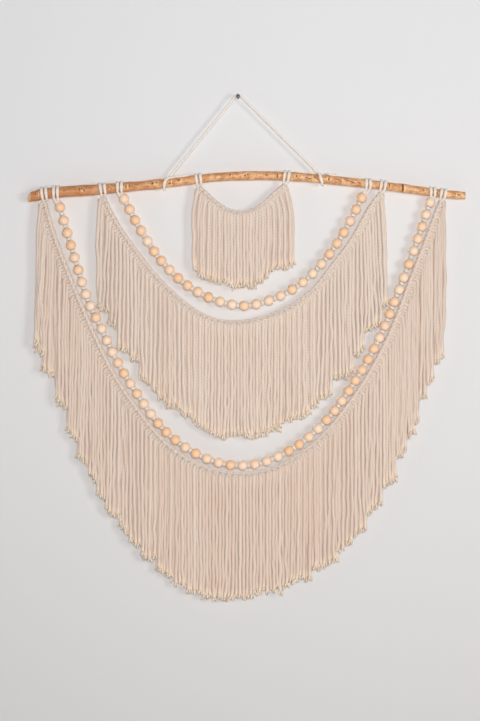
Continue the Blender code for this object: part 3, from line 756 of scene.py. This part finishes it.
INNER_STRING = (
    (-0.2341, -0.2090), (-0.1991, -0.2739), (-0.1564, -0.3374), (-0.1023, -0.3877),
    (-0.0355, -0.4205), (0.0131, -0.4287), (0.0629, -0.4178), (0.1335, -0.3795),
    (0.1868, -0.3227), (0.2284, -0.2565), (0.2530, -0.2073),
)
# The knots between beads differ, so the beads are not quite evenly spaced:  number of a bead, and
# how far it lies beyond its even place, in spacings
OUTER_SHIFT = (
    (0, 0.0), (1, 0.11), (5, 0.22), (12, 0.31), (17, 0.15), (21, 0.0), (30, -0.22), (38, -0.41),
    (43, -0.52), (48, -0.35), (50, -0.07), (54, 0.0),
)
INNER_SHIFT = ((0, 0.0), (1, -0.04), (5, -0.15), (11, -0.38), (15, -0.45), (20, -0.25), (27, 0.0))
FINE_BEAD = 20                       # steps of the string from bead to bead
# Garlands:  name, string, shifts, beads, hitch legs' x at the left (outer, inner) and right
GARLANDS = (
    ("garland_outer", OUTER_STRING, OUTER_SHIFT, 55, (-0.3770, -0.3690), (0.3945, 0.4025)),
    ("garland_inner", INNER_STRING, INNER_SHIFT, 28, (-0.2465, -0.2385), (0.2625, 0.2705)),
)

bead_wood, tree, shader = nodes_of("beech_bead")
own = mark_of(tree, "grain", "Vector")
tone = mark_of(tree, "tone")
grain = add(tree, "Group", {"node_tree": wood_grain}, Vector=own, Pitch=0.0031).outputs
colour = mixed(tree, remap(tree, tone, 0.0, 0.5), BEAD_COLOURS[1], BEAD_COLOURS[0])
colour = mixed(tree, remap(tree, tone, 0.5, 1.0), colour, BEAD_COLOURS[2])
colour = mixed(tree, times(tree, grain["Rings"], 0.30), colour, BEAD_COLOURS[2])
colour = mixed(tree, times(tree, grain["Pores"], 0.18), colour, PORE_BROWN)
clouds = noise(tree, own, 90.0, 2.0)
colour = mixed(tree, remap(tree, clouds, 0.4, 0.7, 0.0, 0.25), colour, BEAD_COLOURS[1])
plug(tree, shader, Base_Color=colour, Roughness=0.55, Normal=bump(tree, 0.15, 0.0003, grain["Height"]))


def hitch(free_x, run_x, slant=0.0):
    """A cord's way up over the front of the branch at free_x, across behind it, and back to the
    front at run_x, from where it hangs. Its legs stand slant to one side at the foot of the
    branch, and as far to the other side at its top."""
    there, back = [
        [round_branch(x + slant * math.cos(math.radians(angle)), angle, HITCH_STEP)
         for angle in HITCH_TURN] for x in (free_x, run_x)
    ]
    return there + back[::-1]


def hanging(line):
    """The x, z rows of a line as points at the depth where everything hangs."""
    return [(x, HANG_Y, z) for x, z in line]


def hitched(line, left, right, tail=HITCH_TAIL, slant=0.0):
    """A line of points with a hitch at either end. Each free leg comes down to the line's end, and
    hangs on from there by the points of a tail, which are given for the left."""
    tail = np.array(tail) * MM
    tail_left = [tuple(point) for point in line[0] + tail[::-1]]
    tail_right = [tuple(point) for point in line[-1] + tail * (-1, 1, 1)]
    return (tail_left + hitch(*left, slant) + [tuple(p) for p in line]
            + hitch(*right[::-1], -slant)[::-1] + tail_right)


def wrap_lines(middles, axes, reach, rise, turns, count):
    """A short coil about each middle: points reach out from the axis, winding turns times round it
    while they climb rise along it, their ends drawn in by a third."""
    part = np.linspace(0, 1, count)
    angle = 2 * math.pi * turns * part
    helper = unit(np.cross(axes, (0.0, 1.0, 0.0)))
    other = np.cross(axes, helper)
    out = reach * (1 - 0.33 * (2 * part - 1) ** 6)
    return (
        middles[:, None] + axes[:, None] * (rise * (part - 0.5))[None, :, None]
        + helper[:, None] * (out * np.cos(angle))[None, :, None]
        + other[:, None] * (out * np.sin(angle))[None, :, None]
    )


def bead_mesh(centres, axes, rng):
    """Beads as one mesh. A bead's outline is an arc of a circle from rim to rim of the bore, and
    back through the bore, and it is turned round the axis on which the bead is threaded."""
    rim = math.asin(BORE_RADIUS * 1.22 / BEAD_RADIUS)
    arc = np.linspace(rim, math.pi - rim, BEAD_ROWS)
    edge = math.cos(rim)
    outline = np.concatenate([
        np.column_stack([np.cos(arc), np.sin(arc)]),
        [(-edge + 0.04, BORE_RADIUS / BEAD_RADIUS), (edge - 0.04, BORE_RADIUS / BEAD_RADIUS)],
    ])
    rows, beads = len(outline), len(centres)
    turn = 2 * math.pi * np.arange(BEAD_SIDES) / BEAD_SIDES
    own = np.stack([
        np.broadcast_to(outline[:, :1], (rows, BEAD_SIDES)),
        outline[:, 1:] * np.cos(turn), outline[:, 1:] * np.sin(turn)], -1) * BEAD_RADIUS
    size = (1 + rng.uniform(-0.02, 0.015, beads))[:, None, None, None]
    axes = unit(axes + rng.normal(0, 0.06, (beads, 3)))
    side = unit(np.cross(axes, rng.normal(0, 1, (beads, 3))))
    basis = np.stack([axes, side, np.cross(axes, side)], 1)
    points = centres[:, None, None] + np.einsum("rsk,bkj->brsj", own, basis) * size
    row, column = np.meshgrid(np.arange(rows), np.arange(BEAD_SIDES), indexing="ij")
    after, beyond = (row + 1) % rows * BEAD_SIDES, (column + 1) % BEAD_SIDES
    one = np.stack([row * BEAD_SIDES + column, after + column, after + beyond,
                    row * BEAD_SIDES + beyond], -1).reshape(-1, 4)
    quads = (one[None] + (np.arange(beads) * rows * BEAD_SIDES)[:, None, None]).reshape(-1, 4)
    turned = rng.uniform(0, 2 * math.pi, beads)[:, None, None]
    x, y, z = own[None, ..., 0], own[None, ..., 1], own[None, ..., 2]
    grain = np.stack([x * np.cos(turned) - y * np.sin(turned) + 0 * z,
                      x * np.sin(turned) + y * np.cos(turned) + 0 * z, z + 0 * turned], -1)
    grain = grain + rng.uniform(-0.05, 0.05, (beads, 1, 1, 3)) * (1, 0.08, 0.08)
    tone = np.repeat(rng.beta(0.9, 1.0, beads), rows * BEAD_SIDES)
    return points.reshape(-1, 3), quads, grain.reshape(-1, 3), tone


for index, (name, string, shifts, beads, left, right) in enumerate(GARLANDS):
    rng = np.random.default_rng(40 + index)
    fine = even_line(hanging(string), FINE_BEAD * (beads - 1) + 1)
    numbers, beyond = np.transpose(shifts)
    number = np.arange(2 * beads - 1) / 2
    step = FINE_BEAD * (number + np.interp(number, numbers, beyond))
    places = picked(fine, np.arange(len(fine)), step)
    along = unit(np.gradient(places, axis=0))
    points, quads, grain, tone = bead_mesh(places[::2], along[::2], rng)
    threaded = solid(name + "_beads", points, quads, np.zeros((0, 3), int), [bead_wood],
                     marks={"grain": grain, "tone": tone})
    ends = np.stack([places[0] - along[0] * END_KNOT, places[-1] + along[-1] * END_KNOT])
    middles = np.concatenate([places[1::2], ends])
    ways = np.concatenate([along[1::2], along[[0, -1]]])
    coils = wrap_lines(middles, ways, WRAP_REACH, WRAP_RISE, WRAP_TURNS, WRAP_RINGS)
    tone = rng.uniform(0, 0.5, len(coils))
    knots = cotton_piece(name + "_knots",
                         cord_mesh(coils, WRAP_RADIUS, WRAP_SIDES, tone, pitch=WRAP_PITCH),
                         white_cotton)
    lead = hitched(places[::2], left, right)
    line = even_line(lead, round(line_length(np.array(lead)) / STRING_STEP))
    thread, line = cord_on_branch(name + "_string", line, 0.1, np.zeros(len(line)))
    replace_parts(thread, name)
    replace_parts(threaded, name)

# ---- The swags --------------------------------------------------------------------------------
# Each is a carrier cord hitched to the branch, with lengths of 5 mm three-ply cotton cord folded
# in half and looped onto it side by side. Their ends hang as a fringe, trimmed to a curve and
# fraying, and pile up in layers where the carrier is steep.
OUTER_BAR = (
    (-0.3964, -0.2140), (-0.3795, -0.2749), (-0.3569, -0.3374), (-0.3241, -0.4194),
    (-0.2882, -0.5014), (-0.2462, -0.5834), (-0.2032, -0.6460), (-0.1706, -0.6875),
    (-0.1330, -0.7240), (-0.0699, -0.7608), (0.0039, -0.7741), (0.0666, -0.7651),
    (0.1494, -0.7167), (0.2355, -0.6183), (0.3075, -0.4925), (0.3590, -0.3600),
    (0.3815, -0.3020), (0.4150, -0.2115),
)
MIDDLE_BAR = (
    (-0.2762, -0.2050), (-0.2462, -0.2628), (-0.2046, -0.3227), (-0.1634, -0.3733),
    (-0.1222, -0.4125), (-0.0804, -0.4438), (-0.0379, -0.4604), (-0.0002, -0.4631),
    (0.0672, -0.4492), (0.1084, -0.4305), (0.1507, -0.3989), (0.1919, -0.3485),
    (0.2320, -0.2940), (0.2715, -0.2250), (0.2915, -0.1965),
)
INNER_BAR = (
    (-0.0805, -0.1845), (-0.0658, -0.1985), (-0.0484, -0.2145), (-0.0330, -0.2260),
    (-0.0166, -0.2345), (0.0000, -0.2376), (0.0162, -0.2376), (0.0326, -0.2321),
    (0.0490, -0.2225), (0.0654, -0.2079), (0.0818, -0.1925), (0.0960, -0.1800),
)
OUTER_HEM = (
    (-0.421, -0.483), (-0.384, -0.579), (-0.345, -0.680), (-0.298, -0.782), (-0.222, -0.905),
    (-0.150, -0.977), (-0.099, -1.015), (0.000, -1.033), (0.065, -1.016), (0.145, -0.985),
    (0.238, -0.903), (0.307, -0.797), (0.356, -0.684), (0.400, -0.563), (0.434, -0.499),
)
MIDDLE_HEM = (
    (-0.291, -0.424), (-0.265, -0.456), (-0.216, -0.545), (-0.160, -0.616), (-0.099, -0.663),
    (-0.062, -0.686), (-0.002, -0.704), (0.055, -0.690), (0.147, -0.645), (0.199, -0.592),
    (0.246, -0.534), (0.274, -0.477), (0.307, -0.418),
)
INNER_HEM = (
    (-0.095, -0.328), (-0.079, -0.356), (-0.056, -0.377), (-0.033, -0.386), (-0.010, -0.392),
    (0.013, -0.392), (0.036, -0.387), (0.059, -0.373), (0.077, -0.355), (0.096, -0.346),
    (0.116, -0.318),
)
# Swags:  name, bar, hem, looped cords, rings along a strand, hitch legs' x left and right, how far
# the outermost strands stand out at the left just under the branch, and how much further at their
# feet, the same at the right, pieces it is made in
SWAGS = (
    ("swag_outer", OUTER_BAR, OUTER_HEM, 109, 96, (-0.4010, -0.3925), (0.4155, 0.4240),
     (1.0 * MM, 11 * MM), (0.0 * MM, -1 * MM), ("left", "bottom", "right")),
    ("swag_middle", MIDDLE_BAR, MIDDLE_HEM, 64, 84, (-0.2812, -0.2727), (0.2925, 0.3010),
     (1.0 * MM, 6 * MM), (2.0 * MM, 10 * MM), ("whole",)),
    ("swag_inner", INNER_BAR, INNER_HEM, 18, 54, (-0.0854, -0.0769), (0.0950, 0.1035),
     (8.0 * MM, -2 * MM), (16.0 * MM, -3 * MM), ("whole",)),
)
CARRIER_TAIL = ((-1.6, -3.4, -2.0), (-2.6, -4.6, -6.0))
CARRIER_SLANT = 1.6 * MM
CARRIER_STEP = 2.6 * MM
STRAND_RADII = (3.85 * MM, 4.05 * MM)    # where strands pile up, and where they lie side by side
STRAND_PITCHES = (3.0 * MM, 6.2 * MM)    # the distances from strand to strand there
STRAND_SIDES, STRAND_GROOVE = 6, 0.18
THIN_END, THICK_ROOT = 0.1, 0.3      # shares by which a strand is thinner and thicker there
LOOP_RADIUS = 3.0 * MM               # the same cord in the knot
# Half of a looped cord's way round the carrier, from where it hangs up to the middle of the loop,
# in mm:  along the carrier, out from it on the fringe's side, back from the viewer
LOOP = (
    (-3.3, 6.6, -1.0), (-3.3, 4.4, -2.0), (-3.4, 2.2, -3.0), (-3.4, -0.4, -3.2), (-3.4, -1.9, -1.7),
    (-3.4, -2.3, 0.4), (-3.4, -1.5, 2.3), (-3.5, 0.4, 2.8), (-3.9, 2.4, 2.1), (-4.8, 3.5, 0.0),
    (-5.1, 3.1, -2.4), (-4.4, 2.2, -4.1), (-2.4, 1.7, -5.0), (0.0, 1.6, -5.2),
)
LOOP_RINGS = 33
# The ridge along the front of the knots, where the bar is steep and where it is level:  how far it
# lies to the fringe's side of the carrier, how far before it, its radius
RIDGE = ((0.6 * MM, -2.0 * MM), (4.4 * MM, 2.9 * MM), (4.6 * MM, 2.9 * MM))
RIDGE_TAPER = 12                     # steps over which either end of it grows thick
RIDGE_PITCH = 30 * MM
RIDGE_SIDES, RIDGE_GROOVE = 12, 0.24
RIDGE_STEPS = 6                      # for each loop
RIDGE_BUMPS = 0.16                   # how much thicker it is over each loop than between two
LEVEL = 6 * MM                       # heights at which the strands' places are settled
SETTLE_ROUNDS = 170
NEIGHBOURS = 12
# Shares of what is still to go, in one round:  apart where too close, together where too far,
# towards the place wished for sideways and in depth, towards the mean of the heights beside it
PUSH, PULL, WISH_X, WISH_Y, SMOOTHING = 0.25, 0.3, 0.03, 0.04, 0.35
STRAND_ROOM = 6.0 * MM               # strands that hang side by side settle this far apart
WIDEST_GAPS = (4.0 * MM, 6.3 * MM)   # neighbours further apart are drawn in, piled up or level
LAYER_Y = 2.5 * MM                   # strands hang about this far before or behind the carrier
DEEPEST = 8.5 * MM                   # and no further than this
BOW = 8.5 * MM                       # how far a strand goes sideways where it turns down
FIRST_STEP, FIRST_STEPS = 2 * MM, 8  # a strand's rings are this close at its top
SPREAD_SHARE = 0.3
SHOULDER_DROP = 8 * MM               # outermost strands stand out within about this height
SHOULDER_STRANDS = (8, 0.04)         # and so many do, with this share of them all
LENGTH_SPREAD = 8 * MM
UNEVEN_KNOTS, LEANING_KNOTS = 0.015, 0.03   # spreads of the knots' sizes and slants
CROSSED = 0.07                       # share of strands that hang in the other layer
# Strands drift aside together:  reach in mm, turn from strand to strand and down a metre, first turn
CLUMPS = ((2.2, 0.31, 9.0, 0.3), (1.6, 0.62, -13.0, 1.9), (1.0, 1.13, 21.0, 4.1), (0.7, 2.2, 17.0, 5.0))
# Each strand's own waves on its way down:  reach, longest, shortest, how many
SWAY, SWAY_DEEP = (1.7 * MM, 0.30, 0.06, 5), (1.3 * MM, 0.3, 0.08, 4)
CURL, CURL_DEEP = (0.9 * MM, 0.080, 0.024, 4), (0.75 * MM, 0.080, 0.024, 4)
BUNCH_SIZES = (5, 12)                # strands that end nearly level, side by side
BUNCHED = 0.6                        # and how nearly they do
FRAYED = 9 * MM                      # usual length of the loose plies at a strand's end
FRAYED_SIDES, FRAYED_PITCH = 4, 20 * MM
# Painted shade: how much of the shade colour strands take on, swag by swag:  those in front, those
# behind. Strands behind take more, for the shade among the strands, and the outer swag more, for the
# less light that falls on it
SWAG_PAINTED_SHADES = ((0.78, 1.0), (0.10, 0.46), (0.04, 0.40))

fringe_cotton = cotton("cream_cotton_fringe", COTTON_CREAM, COTTON_SHADE)


def waves(where, reach, longest, shortest, count, rng, cords):
    """For each cord a sum of count sines of where, their lengths from longest to shortest and
    their heights falling with them, about reach high in all."""
    lengths = np.geomspace(longest, shortest, count)
    heights = lengths / lengths[0]
    heights = heights / np.linalg.norm(heights) * reach
    phase = rng.uniform(0, 2 * math.pi, (cords, 1, count))
    size = rng.normal(0, 1, (cords, 1, count))
    return (heights * size * np.sin(2 * math.pi * where[..., None] / lengths + phase)).sum(-1)


def from_bar(way):
    """The directions square to a bar's own, towards the fringe's side."""
    return np.column_stack([way[:, 2], np.zeros(len(way)), -way[:, 0]])


def settle(x, y, wish_x, wish_y, hangs, top, rooms, widest):
    """Where strands hang at each height: x and y are (strands, heights). Round after round, two
    strands that are nearer than their room push each other apart, neighbours more than widest apart
    are drawn together, each is drawn a little to where it wishes to hang, and each is smoothed
    along its length; its top stays where it is."""
    top_x, top_y = x[top], y[top]
    above = np.roll(hangs, 1, axis=1) & hangs
    below = np.roll(hangs, -1, axis=1) & hangs
    above[:, 0] = below[:, -1] = False
    middle = above & below
    for _ in range(SETTLE_ROUNDS):
        push_x, push_y = np.zeros_like(x), np.zeros_like(y)
        for apart in range(1, NEIGHBOURS):
            dx, dy = x[apart:] - x[:-apart], y[apart:] - y[:-apart]
            far = np.hypot(dx, dy) + 1e-7
            room = (rooms[apart:] + rooms[:-apart]) / 2
            close = np.clip(room - far, 0, None) / far * PUSH
            close *= hangs[apart:] & hangs[:-apart]
            push_x[apart:] += dx * close
            push_x[:-apart] -= dx * close
            push_y[apart:] += dy * close
            push_y[:-apart] -= dy * close
        wide = np.clip(x[1:] - x[:-1] - widest[1:], 0, None) * PULL * (hangs[1:] & hangs[:-1])
        push_x[:-1] += wide
        push_x[1:] -= wide
        x = x + push_x + WISH_X * (wish_x - x)
        y = np.clip(y + push_y + WISH_Y * (wish_y - y), HANG_Y - DEEPEST, HANG_Y + DEEPEST)
        for values in (x, y):
            even = (np.roll(values, 1, axis=1) + np.roll(values, -1, axis=1)) / 2
            values[middle] += SMOOTHING * (even - values)[middle]
        x[top], y[top] = top_x, top_y
    return x, y


def fringe_lines(bar, hem, loops, rings, spread_left, spread_right, rng):
    """The middle lines of a swag's looped cords: (loops, rings, 3), each from the end of one
    strand up to the carrier, round it and down to the end of the other. With them comes, for each
    cord, 0 where strands pile up to 1 where they lie side by side."""
    ends = even_line(hanging(bar), 2 * loops + 1)
    centre = ends[1::2]
    along = unit(ends[2::2] - ends[:-2:2])
    outward = from_bar(along)
    toward = np.array([0.0, 1.0, 0.0])
    half = np.array(LOOP) * MM
    path = even_line(np.concatenate([half, (half * (-1, 1, 1))[-2::-1]]), LOOP_RINGS)
    tip = np.clip(from_ends(loops) / 4, 0, 1)
    size = rng.normal(1, UNEVEN_KNOTS, (loops, 1, 1)) * (0.8 + 0.2 * tip)[:, None, None]
    lean = rng.normal(0, LEANING_KNOTS, (loops, 1))
    t, n, y = path[:, 0], path[:, 1], path[:, 2]
    knots = (
        centre[:, None] + size * (
            along[:, None] * (t + lean * n)[..., None] + outward[:, None] * (n - lean * t)[..., None]
            + toward * y[None, :, None])
    )
    root = knots[:, [0, -1]].reshape(-1, 3)
    way = np.repeat(outward, 2, axis=0)
    strands = 2 * loops
    number = np.arange(strands)
    turning = np.arccos(np.clip(-way[:, 2], -1, 1))
    bow = BOW * (1 + rng.uniform(-0.12, 0.25, strands)) * np.repeat(0.5 + 0.5 * tip, 2)
    top_x = root[:, 0] + np.sign(way[:, 0]) * bow * (1 - np.cos(turning))
    top_z = root[:, 2] - bow * np.sin(turning) - 2 * MM
    share = SPREAD_SHARE * strands
    spread = (spread_right[1] * np.clip(1 - (strands - 1 - number) / share, 0, 1) ** 2
              - spread_left[1] * np.clip(1 - number / share, 0, 1) ** 2)
    share = SHOULDER_STRANDS[0] + SHOULDER_STRANDS[1] * strands
    shoulder = (spread_right[0] * np.clip(1 - (strands - 1 - number) / share, 0, 1)
                - spread_left[0] * np.clip(1 - number / share, 0, 1))
    apart = np.convolve(np.pad(np.gradient(root[:, 0]), 4, mode="edge"), np.ones(9) / 9, "valid")
    flat = np.clip((apart - STRAND_PITCHES[0]) / (STRAND_PITCHES[1] - STRAND_PITCHES[0]), 0, 1)
    uneven = LENGTH_SPREAD * np.clip(loops / 40, 0.45, 1)
    swell = np.sin(number * 0.71 + 1.0) + np.sin(number * 0.37 + 4.0) + np.sin(number * 1.13)
    foot_z = smooth(hem, top_x + spread)[:, 0] + (rng.uniform(-1, 1, strands) + 0.3 * swell) * uneven
    foot_z = foot_z + FRAYED * 0.8
    bunch = np.searchsorted(np.cumsum(rng.integers(*BUNCH_SIZES, strands)), number, side="right")
    shared_z = (np.bincount(bunch, foot_z) / np.maximum(np.bincount(bunch), 1))[bunch]
    foot_z = foot_z + BUNCHED * (1 - 0.6 * flat) * np.clip(loops / 60, 0.3, 1) * (shared_z - foot_z)
    heights = np.arange(top_z.max(), foot_z.min() - LEVEL, -LEVEL)
    down = np.clip((top_z[:, None] - heights) / (top_z - foot_z)[:, None], 0, 1)
    hangs = (heights <= top_z[:, None]) & (heights >= foot_z[:, None] - LEVEL)
    top = (number, hangs.argmax(axis=1))
    drop = heights[None, :] + 0 * top_z[:, None]
    stand = top_x[:, None] + spread[:, None] * down + shoulder[:, None] * (
        1 - np.exp(-np.clip(top_z[:, None] - heights, 0, None) / SHOULDER_DROP))
    clump = sum(
        reach * MM * np.sin(number[:, None] * pitch + heights[None, :] * wave + turn)
        for reach, pitch, wave, turn in CLUMPS
    )
    rooms = np.clip(1.95 * apart, 0.75 * STRAND_ROOM, STRAND_ROOM)[:, None]
    loose = 0.25 + 0.75 * down ** 1.2
    sway = waves(drop, *SWAY, rng, strands)
    wish_x = stand + (clump + sway) * loose * (1.15 - 0.3 * flat)[:, None]
    layer = LAYER_Y * (1 - 0.55 * flat)
    side = np.where(number % 2, layer, -layer) * np.where(rng.random(strands) < CROSSED, -1, 1)
    wish_y = HANG_Y + side[:, None] + waves(drop, *SWAY_DEEP, rng, strands) * loose
    x = stand.copy()
    y = HANG_Y + side[:, None] * np.ones_like(x)
    widest = (WIDEST_GAPS[0] + (WIDEST_GAPS[1] - WIDEST_GAPS[0]) * flat)[:, None]
    x, y = settle(x, y, wish_x, wish_y, hangs, top, rooms, widest)
    curl = 0.3 + 0.7 * down
    x = x + waves(drop, *CURL, rng, strands) * curl
    y = y + waves(drop, *CURL_DEEP, rng, strands) * curl
    lines = np.empty((strands, rings, 3))
    bend = np.linspace(0, 1, 10)[:, None]
    for strand in range(strands):
        z = np.linspace(top_z[strand] - 2 * MM, foot_z[strand], 60)
        fall = np.column_stack([*(np.interp(-z, -heights, side[strand]) for side in (x, y)), z])
        start, finish = root[strand], fall[0]
        reach = 0.5 * np.linalg.norm(finish - start)
        aslant = way[strand] + (0.7 * way[strand, 0], 0, 0)
        leave, arrive = start + aslant * reach, finish + (0, 0, reach)
        arch = ((1 - bend) ** 3 * start + 3 * (1 - bend) ** 2 * bend * leave
                + 3 * (1 - bend) * bend ** 2 * arrive + bend ** 3 * finish)
        whole = np.concatenate([arch[:-1], fall])
        way_down = way_along(whole)
        steps = np.concatenate([FIRST_STEP * np.arange(1, FIRST_STEPS), np.linspace(
            FIRST_STEP * FIRST_STEPS, way_down[-1], rings - FIRST_STEPS + 1)])
        lines[strand] = picked(whole, way_down, steps)
    one, other = lines[0::2], lines[1::2]
    whole = np.concatenate([one[:, ::-1], knots, other], axis=1)
    for _ in range(2):
        whole[:, 1:-1] = 0.25 * whole[:, :-2] + 0.5 * whole[:, 1:-1] + 0.25 * whole[:, 2:]
    return whole, flat[::2]


def ridge(bar, flat):
    """The front of the knots: their loops, pulled tight one after the other, read as one cord that
    lies on the bar. It is thick where the bar is steep and thin where it is level."""
    line = even_line(hanging(bar), RIDGE_STEPS * len(flat))
    step = np.arange(len(line))
    outward = from_bar(unit(np.gradient(line, axis=0)))
    flatness = np.interp(step, RIDGE_STEPS * np.arange(len(flat)) + RIDGE_STEPS // 2, flat)
    aside, before, radius = [steep + (even - steep) * flatness for steep, even in RIDGE]
    radius = radius * (0.55 + 0.45 * np.clip(from_ends(len(line)) / RIDGE_TAPER, 0, 1))
    radius = radius * (1 - RIDGE_BUMPS * np.cos(2 * math.pi * step / RIDGE_STEPS))
    line = line + outward * aside[:, None] - np.array([0.0, 1.0, 0.0]) * before[:, None]
    return cord_mesh(line[None], radius[None], RIDGE_SIDES, 0.3, groove=RIDGE_GROOVE, pitch=RIDGE_PITCH)


def frayed_ends(lines, radii, painted_shade_tones, rng):
    """Three short plies at the end of each strand, which part from the cord's own line by their
    share of its length squared and taper to a soft point."""
    part = np.linspace(0, 1, 5)
    stubs = []
    radius = radii[:, None, None]
    for tip, before in ((lines[:, 0], lines[:, 3]), (lines[:, -1], lines[:, -4])):
        fall = unit(tip - before)
        first = rng.uniform(0, 2 * math.pi, len(tip))
        for ply in range(3):
            angle = first + ply * 2 * math.pi / 3
            out = np.column_stack([np.cos(angle), np.sin(angle), np.zeros(len(tip))])
            length = rng.uniform(0.6, 1.3, len(tip))[:, None, None] * FRAYED
            splay = rng.uniform(1.0, 4.4, len(tip))[:, None, None] * MM
            stubs.append(
                tip[:, None] + out[:, None] * (0.45 * radius + splay * (part ** 2)[None, :, None])
                + fall[:, None] * (length * part[None, :, None] - 2 * MM)
            )
    stubs = np.concatenate(stubs)
    thick = np.tile(radii, 6)[:, None] * 0.58 * np.array([1.0, 1.1, 1.15, 1.05, 0.8])
    painted_shade_tones = np.concatenate([painted_shade_tones[:, 0]] * 3 + [painted_shade_tones[:, 1]] * 3)
    return cord_mesh(stubs, thick, FRAYED_SIDES, painted_shade_tones, 1.0, groove=0.0, pitch=FRAYED_PITCH)


for index, swag in enumerate(SWAGS):
    name, bar, hem, loops, rings, left, right, spread_left, spread_right, parts = swag
    rng = np.random.default_rng(70 + index)
    lines, flat = fringe_lines(bar, hem, loops, rings, spread_left, spread_right, rng)
    strand_radii = STRAND_RADII[0] + (STRAND_RADII[1] - STRAND_RADII[0]) * flat
    count = lines.shape[1]
    place = from_ends(count)
    tight = np.clip((place - rings - 3) / 5, 0, 1)
    swell = (1 - THIN_END * np.clip(1 - place / 14, 0, 1)
             + THICK_ROOT * np.clip(1 - abs(place - rings + 2) / 8, 0, 1))
    radii = strand_radii[:, None] * swell
    radii = radii + (LOOP_RADIUS - radii) * tight
    end = np.clip(1 - place / 7, 0, 1) ** 1.5
    # Each strand's tone is random about its swag's painted shade, and its knot takes less of that
    # painted shade
    painted_shade_tones = np.clip(rng.normal(0.0, 0.25, (loops, 2)) + SWAG_PAINTED_SHADES[index], 0, 1)
    from_one_to_other = ((0, 0), (rings, 0), (count - rings, 1), (count, 1))
    passed = smooth(from_one_to_other, np.arange(count)).T
    tone = painted_shade_tones[:, :1] + (painted_shade_tones[:, 1:] - painted_shade_tones[:, :1]) * passed
    tone = tone * (1 - 0.7 * tight)
    edges = np.linspace(0, loops, len(parts) + 1).round().astype(int)
    for part, low, high in zip(parts, edges, edges[1:]):
        some = slice(low, high)
        mesh = joined(cord_mesh(lines[some], radii[some], STRAND_SIDES, tone[some], end,
                                groove=STRAND_GROOVE),
                      frayed_ends(lines[some], strand_radii[some], painted_shade_tones[some], rng))
        fringe = cotton_piece(f"{name}_fringe_{part}", mesh, fringe_cotton)
        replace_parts(fringe, name)
    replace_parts(cotton_piece(f"{name}_ridge", ridge(bar, flat), fringe_cotton), name)
    bar_line = even_line(hanging(bar), 3 * loops)
    lead = hitched(bar_line[::4], left, right, CARRIER_TAIL, CARRIER_SLANT)
    line = even_line(lead, round(line_length(np.array(lead)) / CARRIER_STEP))
    carrier, line = cord_on_branch(f"{name}_carrier", line, 0.1, np.zeros(len(line)))
    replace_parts(carrier, name)
